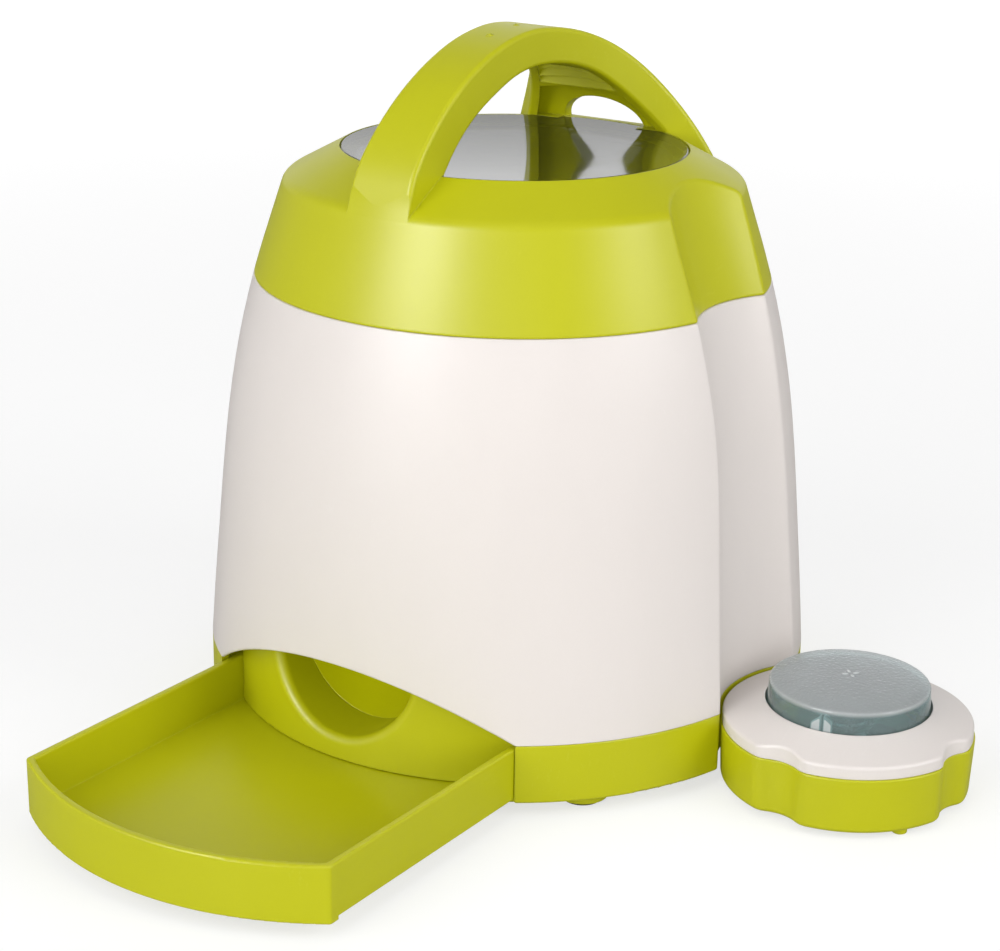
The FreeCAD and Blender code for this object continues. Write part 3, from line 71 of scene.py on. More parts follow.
# ------------------------------------------------------------------ node graph helper
class Graph:
    """The shader nodes of one new material or world.
    Keyword inputs are socket names, with _ for a space; None leaves a socket alone."""

    def __init__(self, name, kind="Material"):
        self.owner = (bpy.data.worlds if kind == "World" else bpy.data.materials).new(name)
        self.owner.use_nodes = True
        self.tree = self.owner.node_tree
        self.tree.nodes.clear()
        self.output = self.node("Output" + kind)
        self.coords = self.node("TexCoord").outputs

    @cached_property
    def geometry(self):
        return self.node("NewGeometry").outputs

    def put(self, value, socket):
        if isinstance(value, bpy.types.NodeSocket):
            self.tree.links.new(value, socket)
        elif isinstance(value, tuple) and len(value) == 3 and len(socket.default_value) == 4:
            socket.default_value = (*value, 1.0)
        else:
            socket.default_value = value

    def node(self, kind, props=None, **inputs):
        made = self.tree.nodes.new("ShaderNode" + kind)
        for key, value in (props or {}).items():
            setattr(made, key, value)
        for key, value in inputs.items():
            if value is not None:
                self.put(value, made.inputs[key.replace("_", " ")])
        return made

    def out(self, kind, props=None, **inputs):
        """First output of a new node."""
        return self.node(kind, props, **inputs).outputs[0]

    def scaled(self, scale, rot=(0, 0, 0)):
        return self.out("Mapping", Vector=self.coords["Object"], Scale=scale, Rotation=rot)

    def noise(self, scale, detail=2.0, rough=0.5, vec=None, distortion=0.0):
        return self.out("TexNoise", Scale=scale, Detail=detail, Roughness=rough,
                        Distortion=distortion, Vector=vec or self.coords["Object"])

    def voronoi(self, scale, feature="F1", vec=None, randomness=1.0):
        return self.out("TexVoronoi", {"feature": feature}, Scale=scale, Randomness=randomness,
                        Vector=vec or self.coords["Object"])

    def operate(self, kind, props, operands):
        made = self.node(kind, props)
        for value, socket in zip(operands, made.inputs):
            self.put(value, socket)
        return made.outputs

    def math(self, operation, *operands, clamp=False):
        return self.operate("Math", {"operation": operation, "use_clamp": clamp}, operands)[0]

    def vector_math(self, operation, *operands):
        return self.operate("VectorMath", {"operation": operation}, operands)["Value"]

    def plus(self, a, b, clamp=False):
        return self.math("ADD", a, b, clamp=clamp)

    def minus(self, a, b, clamp=False):
        return self.math("SUBTRACT", a, b, clamp=clamp)

    def times(self, a, b, clamp=False):
        return self.math("MULTIPLY", a, b, clamp=clamp)

    def remap(self, value, start, end, low=0.0, high=1.0, kind="LINEAR"):
        return self.out("MapRange", {"interpolation_type": kind}, Value=value, From_Min=start,
                        From_Max=end, To_Min=low, To_Max=high)

    def step(self, value, start, end, low=0.0, high=1.0):
        """Soft step from low to high as value goes from start to end."""
        return self.remap(value, start, end, low, high, kind="SMOOTHSTEP")

    def spread(self, texture, low=0.0, high=1.0):
        """Stretches the middle of a noise, where most of its values lie, over low..high."""
        return self.remap(texture, start=0.3, end=0.7, low=low, high=high)

    def mix(self, fac, a, b):
        made = self.node("Mix", {"data_type": "RGBA", "blend_type": "MIX", "clamp_factor": True})
        for index, value in ((0, fac), (6, a), (7, b)):
            self.put(value, made.inputs[index])
        return made.outputs[2]

    def tint(self, colour, mask, amount, other):
        """Moves colour towards other by amount, where the mask is 1."""
        return self.mix(self.times(mask, amount), colour, other)

    def vary(self, texture, colour, low, high):
        """Colour scaled between low and high by a noise."""
        return self.mix(self.spread(texture), shade(colour, low), shade(colour, high))

    def bump(self, height, depth, normal=None):
        """Relief of the given depth in mm."""
        return self.out("Bump", Strength=1.0, Distance=depth * MM, Height=height, Normal=normal)

    def xyz(self, vec=None):
        return self.node("SeparateXYZ", Vector=vec or self.coords["Object"]).outputs

    def edges(self, radius):
        """(rounded normal, 0..1 mask of the edges, which finishes tint as wear and as painted edge
        highlight), with the radius in mm.
        """
        rounded = self.out("Bevel", {"samples": 4}, Radius=radius * MM)
        facing = self.vector_math("DOT_PRODUCT", rounded, self.geometry["Normal"])
        gain = 6.0
        return rounded, self.times(self.minus(1.0, facing), gain, clamp=True)

    def mix_shader(self, fac, a, b):
        made = self.node("MixShader", Fac=fac)
        self.put(a, made.inputs[1])
        self.put(b, made.inputs[2])
        return made.outputs[0]

    def coat(self, body, ior, colour, rough, normal):
        """Gloss over body, with a Fresnel share that reads the same from both sides of a wall."""
        gloss = self.out("BsdfAnisotropic", Color=colour, Roughness=rough, Normal=normal)
        eta = self.remap(self.geometry["Backfacing"], start=0, end=1, low=ior, high=1 / ior)
        return self.mix_shader(self.out("Fresnel", IOR=eta, Normal=normal), body, gloss)

    def milky(self, see, milk, through, through_share, haze, rough, normal):
        """See-through plastic clouded by haze: front-lit milk colour mixed with light let through."""
        clear = self.out("BsdfTransparent", Color=see)
        front = self.out("BsdfDiffuse", Color=milk, Normal=normal)
        lit_through = self.out("BsdfTranslucent", Color=through, Normal=normal)
        cloudy = self.mix_shader(through_share, front, lit_through)
        return self.coat(self.mix_shader(haze, clear, cloudy), ior=1.48,
                         colour=(0.95, 0.97, 0.98), rough=rough, normal=normal)

    def finish(self, shader):
        self.tree.links.new(shader, self.output.inputs["Surface"])
        return self.owner


def shade(colour, factor):
    return tuple(min(1.0, x * factor) for x in colour)


# ------------------------------------------------------------------ materials
def moulded(name, base, rough, deep=None, pale=None, grain=0.35, grain_depth=0.010, mottle=0.035,
            edge_wear_and_highlight=0.35, specular=0.5, subsurface=0.0, glow=0.0):
    """Injection-moulded plastic: fine grain, flow tint, edges lightened by wear and painted
    highlight, faint scuffs, optional painted glow. Grain in mm.
    """
    g = Graph(name)
    deep = deep or shade(base, 0.86)
    pale = pale or tuple(min(1.0, 0.55 * x + 0.45) for x in base)
    normal, edge = g.edges(radius=0.35)
    broad = g.noise(scale=11.0, detail=3.0, rough=0.55)
    flow = g.noise(scale=60.0, detail=4.0, rough=0.6, vec=g.scaled((1.0, 1.0, 0.35)),
                   distortion=0.6)
    pigment = g.noise(scale=900.0 / grain, detail=2.0, rough=0.6)
    cloud = g.plus(g.times(broad, 0.6), g.times(flow, 0.4))
    colour = g.vary(cloud, base, low=1 - mottle, high=1 + mottle)
    colour = g.mix(g.remap(pigment, start=0.32, end=0.68, high=0.16), colour, deep)
    # edges paler: part wear, part painted edge highlight
    colour = g.tint(colour, edge, edge_wear_and_highlight, pale)
    # long fine scuffs, only here and there
    patch = g.step(g.noise(scale=26.0), start=0.52, end=0.70)
    lines = g.noise(scale=240.0, detail=3.0, rough=0.7,
                    vec=g.scaled((6.0, 0.5, 1.6), rot=(0.3, 0.2, 0.7)))
    lines = g.step(lines, start=0.60, end=0.67)
    scuffs = g.times(g.times(lines, patch), 0.35)
    colour = g.tint(colour, scuffs, 0.25, pale)
    # duller with flow and scuffs, shinier on the edges
    roughness = g.plus(rough - 0.04, g.times(flow, 0.08))
    roughness = g.plus(roughness, g.times(scuffs, 0.10))
    roughness = g.minus(roughness, g.times(edge, 0.05), clamp=True)
    waves = g.bump(g.noise(scale=22.0, detail=1.5), depth=0.05, normal=normal)
    pits = g.voronoi(scale=1000.0 / grain * 0.55, feature="SMOOTH_F1")
    fine = g.plus(g.times(pigment, 0.6), g.times(pits, 0.4))
    extra = {}
    # painted light: glow makes the plastic give off light of its own colour, though it is no lamp
    if glow:
        extra.update(Emission_Color=colour, Emission_Strength=glow)
    if subsurface:
        extra.update(Subsurface_Weight=subsurface, Subsurface_Radius=(0.004, 0.0035, 0.002),
                     Subsurface_Scale=1.0)
    return g.finish(g.out("BsdfPrincipled", Base_Color=colour, Roughness=roughness,
                          Specular_IOR_Level=specular,
                          Normal=g.bump(fine, depth=grain_depth, normal=waves), **extra))


def rubber(name, base, rough, dust=0.3):
    """Grained rubber with dusty clouds and greyed edges."""
    g = Graph(name)
    normal, edge = g.edges(radius=0.3)
    grain = g.noise(scale=2200.0, detail=3.0, rough=0.7)
    cloud = g.step(g.noise(scale=120.0, detail=3.0), start=0.45, end=0.75)
    colour = g.mix(g.spread(grain, high=0.5), base, shade(base, 1.9))
    colour = g.tint(colour, cloud, amount=dust * 0.5, other=(0.30, 0.29, 0.27))
    colour = g.tint(colour, edge, amount=0.25, other=(0.20, 0.20, 0.20))
    roughness = g.remap(grain, start=0.2, end=0.8, low=rough - 0.08, high=rough + 0.08)
    return g.finish(g.out("BsdfPrincipled", Base_Color=colour, Roughness=roughness,
                          Specular_IOR_Level=0.3,
                          Normal=g.bump(grain, depth=0.03, normal=normal)))


def metal(name, base, rough, brush, wear=(0.9, 0.9, 0.88)):
    """Brushed metal with stains and bright edges; brush stretches the lines along x, y, z."""
    g = Graph(name)
    normal, edge = g.edges(radius=0.15)
    lines = g.noise(scale=420.0, detail=3.0, rough=0.65, vec=g.scaled(brush))
    spots = g.step(g.noise(scale=350.0, detail=4.0, rough=0.6), start=0.50, end=0.72)
    colour = g.vary(lines, base, low=0.82, high=1.12)
    colour = g.tint(colour, spots, amount=0.25, other=shade(base, 0.45))
    colour = g.tint(colour, edge, amount=0.5, other=wear)
    roughness = g.remap(lines, start=0.25, end=0.75, low=rough - 0.07, high=rough + 0.09)
    roughness = g.plus(roughness, g.times(spots, 0.15))
    return g.finish(g.out("BsdfPrincipled", Base_Color=colour, Metallic=1.0, Roughness=roughness,
                          Normal=g.bump(lines, depth=0.01, normal=normal)))


def smoked(name):
    """Clear smoked sheet: dark see-through body, high gloss, hairline scratches and some dust."""
    g = Graph(name)
    hair_a = g.noise(scale=260.0, rough=0.7, vec=g.scaled((9.0, 0.45, 1.0), rot=(0, 0, 0.6)))
    hair_b = g.noise(scale=300.0, rough=0.7, vec=g.scaled((0.45, 8.0, 1.0), rot=(0, 0, 0.25)))
    hair = g.math("MAXIMUM", g.step(hair_a, start=0.66, end=0.72),
                  g.step(hair_b, start=0.67, end=0.73))
    cloud = g.noise(scale=40.0, detail=4.0, rough=0.6)
    roughness = g.plus(g.spread(cloud, low=0.035, high=0.075), g.times(hair, 0.14))
    wavy = g.bump(g.noise(scale=35.0), depth=0.012)
    # a very shallow bowl about the sheet's centre; its height is already in metres
    x, y, _ = g.xyz()
    x = g.minus(x, DRUM.x)
    y = g.minus(y, DRUM.y)
    bowl = g.times(g.plus(g.times(x, x), g.times(y, y)), 0.42)
    wavy = g.bump(bowl, depth=1000.0, normal=wavy)
    see = g.mix(g.spread(cloud), (0.52, 0.53, 0.52), (0.58, 0.59, 0.58))
    dusty = g.mix_shader(g.spread(cloud, low=0.10, high=0.17), g.out("BsdfTransparent", Color=see),
                         g.out("BsdfDiffuse", Color=(0.045, 0.047, 0.045)))
    return g.finish(g.coat(dusty, ior=1.50, colour=(0.97, 0.97, 0.98), rough=roughness,
                           normal=wavy))


def frosted(name, see, milk, haze, rough):
    """Translucent tinted plastic: part see-through, part milky, with a soft gloss on top."""
    g = Graph(name)
    normal, edge = g.edges(radius=0.25)
    cloud = g.noise(scale=160.0, detail=3.0, rough=0.6)
    fine = g.noise(scale=2600.0, detail=2.0, rough=0.6)
    return g.finish(g.milky(
        see=g.vary(cloud, see, low=0.97, high=1.03),
        milk=g.vary(cloud, milk, low=0.95, high=1.05),
        through=shade(milk, 1.1), through_share=0.40,
        haze=g.plus(g.spread(cloud, low=haze - 0.04, high=haze + 0.04), g.times(edge, 0.35),
                    clamp=True),
        rough=g.spread(fine, low=rough - 0.03, high=rough + 0.03),
        normal=g.bump(fine, depth=0.004, normal=normal)))


def pebbled_dome(name):
    """The push-button: milky pebbled crown, painted highlight round the crown's rim, brighter star,
    clearer teal skirt.
    """
    g = Graph(name)
    normal, edge = g.edges(radius=0.2)
    z = g.times(g.xyz()[2], 1000.0)
    # masks by height in mm
    crown = g.step(z, start=27.2, end=28.3)
    # painted highlight: a band round the crown's rim, lighter and milkier
    painted_shoulder_highlight = g.times(g.step(z, start=26.9, end=27.6),
                       g.step(z, start=27.9, end=28.5, low=1.0, high=0.0))
    star = g.step(z, start=30.03, end=30.16)
    cloud = g.noise(scale=160.0, detail=3.0, rough=0.6)
    fine = g.noise(scale=2600.0, detail=2.0, rough=0.6)
    pebble = g.voronoi(scale=1150.0, feature="SMOOTH_F1")
    relief = g.plus(g.times(pebble, crown), g.times(fine, 0.05))
    see = g.mix(crown, (0.56, 0.72, 0.72), (0.74, 0.80, 0.81))
    milk = g.mix(crown, (0.45, 0.56, 0.56), (0.635, 0.645, 0.655))
    milk = g.mix(g.spread(cloud, high=0.25), milk, (0.48, 0.51, 0.52))
    milk = g.tint(milk, painted_shoulder_highlight, amount=0.7, other=(0.68, 0.70, 0.70))
    milk = g.mix(star, milk, (0.82, 0.84, 0.84))
    # the skirt's haze, then what each feature adds to it
    haze = 0.29
    for mask, amount in ((crown, 0.29), (painted_shoulder_highlight, 0.20), (star, 0.30)):
        haze = g.plus(haze, g.times(mask, amount))
    haze = g.plus(haze, g.spread(cloud, low=-0.03, high=0.03))
    # edges milkier as painted edge highlight
    haze = g.plus(haze, g.times(edge, 0.25), clamp=True)
    # the crown is rougher than the skirt
    roughness = g.minus(g.spread(fine, low=0.13, high=0.19), g.times(crown, -0.14))
    return g.finish(g.milky(see=see, milk=milk, through=milk, through_share=0.35, haze=haze,
                            rough=roughness, normal=g.bump(relief, depth=0.24, normal=normal)))


def circuit(name):
    """Solder mask over etched tracks, with bare pads and a glassy laminate."""
    g = Graph(name)
    flat = (1.0, 1.0, 0.02)     # keeps the pattern nearly the same through the thickness
    cells = g.voronoi(scale=260.0, feature="DISTANCE_TO_EDGE", vec=g.scaled(flat), randomness=0.35)
    track = g.step(cells, start=0.05, end=0.085, low=1.0, high=0.0)
    weave = g.noise(scale=1500.0)
    dots = g.voronoi(scale=330.0, vec=g.scaled(flat), randomness=0.55)
    pads = g.step(dots, start=0.13, end=0.17, low=1.0, high=0.0)
    colour = g.mix(g.spread(weave), (0.008, 0.115, 0.050), (0.014, 0.165, 0.075))
    colour = g.mix(track, colour, (0.030, 0.290, 0.120))
    colour = g.mix(pads, colour, (0.62, 0.60, 0.50))
    return g.finish(g.out("BsdfPrincipled", Base_Color=colour, Metallic=g.times(pads, 0.8),
                          Roughness=g.remap(weave, start=0.2, end=0.8, low=0.28, high=0.42),
                          Normal=g.bump(g.math("MAXIMUM", track, pads), depth=0.03)))


def jacket(name, node_name):
    """Battery sleeve, lying along Y: graphite body, copper bands near both ends, bare caps."""
    g = Graph(name)
    lo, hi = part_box(node_name)
    middle, half = (lo.y + hi.y) / 2, (hi.y - lo.y) / 2
    off_middle = g.math("ABSOLUTE", g.minus(g.xyz()[1], middle))
    band = g.step(off_middle, start=half * 0.66, end=half * 0.67)
    cap = g.step(off_middle, start=half * 0.975, end=half * 0.98)
    foil = g.noise(scale=500.0, detail=3.0, rough=0.6)
    graphite = g.mix(foil, (0.020, 0.021, 0.024), (0.040, 0.041, 0.045))
    copper = g.mix(foil, (0.50, 0.22, 0.085), (0.62, 0.30, 0.13))
    colour = g.mix(cap, g.mix(band, graphite, copper), (0.66, 0.66, 0.64))
    return g.finish(g.out("BsdfPrincipled", Base_Color=colour,
                          Metallic=g.math("MAXIMUM", g.times(band, 0.6), cap),
                          Roughness=g.spread(foil, low=0.24, high=0.36),
                          Normal=g.bump(foil, depth=0.01)))


LIME = (0.430, 0.434, 0.0012)
FINISHES = {
    # the lime plastic carries a faint painted glow (glow=0.06)
    "lime_plastic": moulded(
        "lime_plastic_moulded", base=LIME, rough=0.40, deep=(0.38, 0.385, 0.0008),
        pale=(0.62, 0.64, 0.09), edge_wear_and_highlight=0.30, specular=0.40, glow=0.06),
    "white_plastic": moulded(
        "white_plastic_moulded", base=(0.672, 0.627, 0.599), rough=0.42,
        deep=(0.630, 0.588, 0.560), pale=(0.78, 0.75, 0.73), specular=0.38, mottle=0.018,
        edge_wear_and_highlight=0.45, grain_depth=0.009),
    "natural_plastic": moulded(
        "natural_plastic_moulded", base=(0.66, 0.68, 0.65), rough=0.36, mottle=0.03,
        subsurface=0.15),
    "gear_nylon": moulded(
        "gear_nylon_moulded", base=(0.72, 0.70, 0.62), rough=0.45, mottle=0.04, grain=0.25),
    "black_plastic": moulded(
        "black_plastic_moulded", base=(0.018, 0.018, 0.019), rough=0.46,
        pale=(0.10, 0.10, 0.10), deep=(0.010, 0.010, 0.010)),
    "black_rubber": rubber("black_rubber_grained", base=(0.014, 0.014, 0.014), rough=0.78),
    "seal_rubber": rubber("seal_rubber_grained", base=(0.20, 0.20, 0.19), rough=0.66, dust=0.15),
    "smoked_window": smoked("smoked_window_clear"),
    "translucent_dome": pebbled_dome("translucent_dome_frosted"),
    "led_lens": frosted(
        "led_lens_frosted", see=(0.75, 0.18, 0.15), milk=(0.62, 0.10, 0.08), haze=0.5, rough=0.10),
    "screw_steel": metal(
        "screw_steel_zinc", base=(0.58, 0.59, 0.60), rough=0.30, brush=(4.0, 4.0, 1.0)),
    "motor_steel": metal(
        "motor_steel_brushed", base=(0.50, 0.50, 0.50), rough=0.34, brush=(1.0, 1.0, 24.0)),
    "brass_parts": metal(
        "brass_turned", base=(0.72, 0.52, 0.20), rough=0.28, brush=(1.0, 1.0, 18.0),
        wear=(0.95, 0.82, 0.50)),
    "contact_metal": metal(
        "contact_metal_nickel", base=(0.66, 0.64, 0.60), rough=0.26, brush=(10.0, 1.0, 1.0)),
    "circuit_board": circuit("circuit_board_mask"),
    "wire_sleeve": moulded(
        "wire_sleeve_pvc", base=(0.30, 0.018, 0.014), rough=0.38, pale=(0.55, 0.20, 0.16),
        grain=0.3),
}
# the chute is the same green painted lighter and given a faint glow: painted light inside the chute
CHUTE_PAINTED_LIGHT_FINISH = moulded(
    "lime_plastic_chute_painted_light", base=shade(LIME, 1.34), rough=0.40, deep=shade(LIME, 1.15),
    pale=(0.70, 0.72, 0.10), edge_wear_and_highlight=0.30, specular=0.40, glow=0.12)
CLIP_FINISH = frosted(
    "clip_ribs_frosted", see=(0.80, 0.84, 0.84), milk=(0.80, 0.83, 0.83), haze=0.72, rough=0.22)
# finishes that hold for one piece only, by (piece, slot)
SPECIAL_FINISHES = {
    ("chute", "lime_plastic"): CHUTE_PAINTED_LIGHT_FINISH,
    ("batteries", "battery_jacket"): jacket("battery_jacket_wrap", "batteries"),
    ("remote_batteries", "battery_jacket"): jacket("remote_battery_jacket_wrap",
                                                   "remote_batteries"),
}


def dress_pieces():
    """Gives every CAD piece its finishes, slot by slot."""
    for node_name, ob in NODES.items():
        for slot in ob.material_slots:
            slot_name = (slot.material.name if slot.material else "").split(".")[0]
            finish = SPECIAL_FINISHES.get((node_name, slot_name)) or FINISHES.get(slot_name)
            if not finish and slot_name == "battery_jacket":
                finish = SPECIAL_FINISHES["batteries", slot_name]
            if not finish:
                raise SystemExit("no finish for %s on %s" % (slot_name, node_name))
            slot.material = finish
        if not ob.material_slots:
            raise SystemExit("%s has no material slot" % node_name)


dress_pieces()


# ------------------------------------------------------------------ extra pieces
def piece(name, verts, faces, material, body, smooth):
    """Mesh object that rides on a body; edges sharper than smooth degrees stay hard."""
    mesh = bpy.data.meshes.new(name)
    mesh.from_pydata([tuple(v) for v in verts], [], faces)
    mesh.validate()
    bm = bmesh.new()
    bm.from_mesh(mesh)
    bmesh.ops.recalc_face_normals(bm, faces=bm.faces)
    bm.to_mesh(mesh)
    bm.free()
    mesh.materials.append(material)
    mesh.set_sharp_from_angle(angle=math.radians(smooth))
    for polygon in mesh.polygons:
        polygon.use_smooth = True
    ob = bpy.data.objects.new(name, mesh)
    scene.collection.objects.link(ob)
    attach(ob, body)
    return ob


def lathe(profile, segments, verts, faces, place):
    """Turns an open (r, z) profile round Z into verts and faces; place maps each point.
    Points with r 0 become poles."""
    rows = []
    for r, z in profile:
        count = 1 if r < 1e-9 else segments
        rows.append(range(len(verts), len(verts) + count))
        for k in range(count):
            a = 2 * math.pi * k / segments
            verts.append(place((r * math.cos(a), r * math.sin(a), z)))
    for low, high in zip(rows, rows[1:]):
        for k in range(segments):
            k2 = (k + 1) % segments
            if len(low) == 1:
                faces.append((low[0], high[k], high[k2]))
            elif len(high) == 1:
                faces.append((low[k], high[0], low[k2]))
            else:
                faces.append((low[k], high[k], high[k2], low[k2]))


def on_remote(point):
    """From mm about the remote's axis to metres in the frame."""
    x, y, z = point
    return (REMOTE.x + x * MM, REMOTE.y + y * MM, z * MM)


def skirt_radius(z):
    return SKIRT_TOP_R + (SKIRT_FOOT_R - SKIRT_TOP_R) * (SHOULDER_Z - z) / (SHOULDER_Z - FOOT_Z)


CROWN_R = 18.8
# crown stations, mm: radius, height
CROWN_STATIONS = [(0.0, 30.0), (8.0, SHOULDER_Z + 2.08), (14.4, SHOULDER_Z + 1.62),
                  (CROWN_R, SHOULDER_Z + 0.75)]
# a quartic through the stations and their mirror images
CROWN_CURVE = np.polyfit(
    *zip(*[(-r, z) for r, z in reversed(CROWN_STATIONS[1:])], *CROWN_STATIONS), 4)
FLANGE_TOP_Z = 18.6
# retaining flange from the skirt round to the bore, mm: radius, height
FLANGE = [(20.75, FLANGE_TOP_Z), (21.75, FLANGE_TOP_Z), (21.9, 18.45), (21.9, 17.15),
          (21.75, FOOT_Z), (19.2, FOOT_Z), (19.1, 17.1)]
BORE_R = 19.1
CEILING_R, CEILING_EDGE_Z, CEILING_TOP_Z = 17.8, 27.35, 28.5
# centre post under the crown, mm: radius, height
POST = [(0, 21.3), (1.7, 21.3), (1.9, 21.5), (1.9, 26.2), (2.2, 26.5), (3.2, 26.5), (3.4, 26.7),
        (3.4, 28.62), (0, 28.72)]
PEBBLE_H, RIPPLE_H = 0.055, 0.018
# star petals, mm: centre's distance from the axis, half length, half width, height
PETAL_R, PETAL_LENGTH, PETAL_WIDTH, PETAL_H = 1.45, 0.95, 0.48, 0.34


def crown_height(r):
    return float(np.polyval(CROWN_CURVE, r))


def shell_profile():
    """The button's wall, from the crown's top down outside and back up inside."""
    rings = 96
    outer = [(r, crown_height(r)) for r in (CROWN_R * i / rings for i in range(rings + 1))]
    crown_edge_z = crown_height(CROWN_R)
    sweep = math.radians(80)
    for i in range(1, 13):
        a = i / 12 * sweep
        drop = (crown_edge_z - SHOULDER_Z) * (1 - math.cos(a)) / (1 - math.cos(sweep))
        outer.append((CROWN_R + (SKIRT_TOP_R - CROWN_R) * math.sin(a) / math.sin(sweep),
                      crown_edge_z - drop))
    for i in range(1, 13):
        z = SHOULDER_Z + (FLANGE_TOP_Z - SHOULDER_Z) * i / 12
        outer.append((skirt_radius(z), z))
    inner = [(BORE_R, z) for z in np.linspace(18.0, 26.2, 12)]
    inner += [(18.95, 26.7), (18.5, 27.1), (CEILING_R, CEILING_EDGE_Z)]
    for i in range(1, 25):
        r = CEILING_R * (1 - i / 24)
        rise = (1 - (r / CEILING_R) ** 2) ** 0.9
        inner.append((r, CEILING_EDGE_Z + (CEILING_TOP_Z - CEILING_EDGE_Z) * rise))
    return outer + FLANGE + inner


def crown_relief(point):
    """Raises the pebbles and the four-petalled star on the crown's outer face."""
    x, y, z = point
    r = math.hypot(x, y)
    if z < 28.0 or z < crown_height(min(r, CROWN_R)) - 0.2:
        return point
    # pebbles fade out towards the rim and the star
    fade = max(0.0, min(1.0, (18.3 - r) / 1.6)) * max(0.0, min(1.0, (r - 1.4) / 1.6))
    distances, _ = noise.voronoi(Vector((x * 1.25, y * 1.25, 3.7)))
    edge = min(1.0, (distances[1] - distances[0]) / 0.42)
    ripple = noise.noise(Vector((x * 2.6, y * 2.6, 9.1)))
    rise = (PEBBLE_H * (edge * edge * (3 - 2 * edge) - 0.6) + RIPPLE_H * ripple) * fade
    for k in range(4):
        a = math.radians(45 + 90 * k)
        along = x * math.cos(a) + y * math.sin(a)
        across = -x * math.sin(a) + y * math.cos(a)
        q = ((along - PETAL_R) / PETAL_LENGTH) ** 2 + (across / PETAL_WIDTH) ** 2
        if q < 1:
            rise = max(rise, PETAL_H * (1 - q) ** 0.5)
    return (x, y, z + rise)


def dome_button():
    """The remote's translucent button: thin domed shell with a flange, and a centre post."""
    verts, faces = [], []
    lathe(shell_profile(), 512, verts, faces, lambda point: on_remote(crown_relief(point)))
    lathe(POST, 48, verts, faces, on_remote)
    ob = piece("dome_button", verts, faces, FINISHES["translucent_dome"],
               "button", smooth=50)
    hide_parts("remote_button")


CLIP_INNER_R = 17.9
CLIP_FOOT_Z = 19.6
# degrees round the axis; start and end along the skirt, mm; top height at start and end, mm
CLIP_BLOCKS = [
    (-83, -3.0, -0.35, 24.4, 26.6),
    (-83, 0.30, 2.5, 26.6, 24.9),
    (-55, -1.3, 1.3, 22.0, 22.4),
]


def clip_block(verts, faces, degrees, start, end, start_top, end_top):
    """One closed block set in the skirt, with a sloping top and softened outer edges."""
    columns, rows, first = 6, 8, len(verts)
    for outside in (True, False):
        for j in range(rows + 1):
            for i in range(columns + 1):
                f = i / columns
                top = start_top + (end_top - start_top) * f
                z = CLIP_FOOT_Z + (top - CLIP_FOOT_Z) * j / rows
                soft = 0.10 * (abs(2 * f - 1) ** 6 + (1.0 if j in (0, rows) else 0.0))
                r = skirt_radius(z) + 0.04 - soft if outside else CLIP_INNER_R
                a = math.radians(degrees) + (start + (end - start) * f) / SKIRT_MEAN_R
                verts.append(on_remote((r * math.cos(a), r * math.sin(a), z)))
    w = columns + 1         # step to the next row
    m = w * (rows + 1)      # step to the inner shell
    for j in range(rows):
        for i in range(columns):
            q = first + j * w + i
            faces.append((q, q + 1, q + w + 1, q + w))
            faces.append((q + m, q + m + w, q + m + w + 1, q + m + 1))
    for i in range(columns):
        q = first + i
        faces.append((q, q + m, q + m + 1, q + 1))
        q += rows * w
        faces.append((q, q + 1, q + m + 1, q + m))
    for j in range(rows):
        q = first + j * w
        faces.append((q, q + w, q + w + m, q + m))
        q += columns
        faces.append((q, q + m, q + w + m, q + w))


def dome_clips():
    """Clip ribs: three sets of a thick block split by a slot, with a smaller rib beside it."""
    verts, faces = [], []
    for turn in (0, 120, 240):
        for degrees, *sizes in CLIP_BLOCKS:
            clip_block(verts, faces, degrees + turn, *sizes)
    piece("dome_clips", verts, faces, CLIP_FINISH, "button", smooth=40)


# rim and torn stub at full size, mm: radius, height above the surface
GATE_PROFILE = [(0, -0.25), (1.9, -0.25), (1.95, 0.03), (1.75, 0.16), (1.45, 0.16), (1.25, 0.03),
                (0.75, 0.02), (0.62, 0.26), (0.30, 0.34), (0, 0.30)]
# y from the drum's centre, m; size factor
GATES = [(-0.0122, 0.55), (-0.0003, 0.45)]


def gate_marks():
    """Two sheared injection gates on the crest of the handle: a shallow rim round a torn stub."""
    bpy.context.view_layer.update()
    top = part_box("lid_cap")[1].z
    up = Vector((0, 0, 1))
    verts, faces = [], []
    for offset, size in GATES:
        x, y = DRUM.x, DRUM.y + offset
        found, hit, normal, _ = NODES["lid_cap"].ray_cast(Vector((x, y, top + 0.02)), -up)
        foot = Vector((x, y, hit.z if found else top))
        tilt = up.rotation_difference(normal if found else up)

        def place(point):
            spot = Vector(point) * MM
            if point[2] > 0.2:      # the stub's torn top is uneven
                spot.z += 0.05 * MM * size * math.sin(3 * math.atan2(point[1], point[0]) + 1.3)
            return foot + tilt @ spot

        lathe([(r * size, z) for r, z in GATE_PROFILE], 40, verts, faces, place)
    piece("handle_gate_marks", verts, faces, FINISHES["lime_plastic"], "lid",
          smooth=50)


dome_button()
dome_clips()
gate_marks()


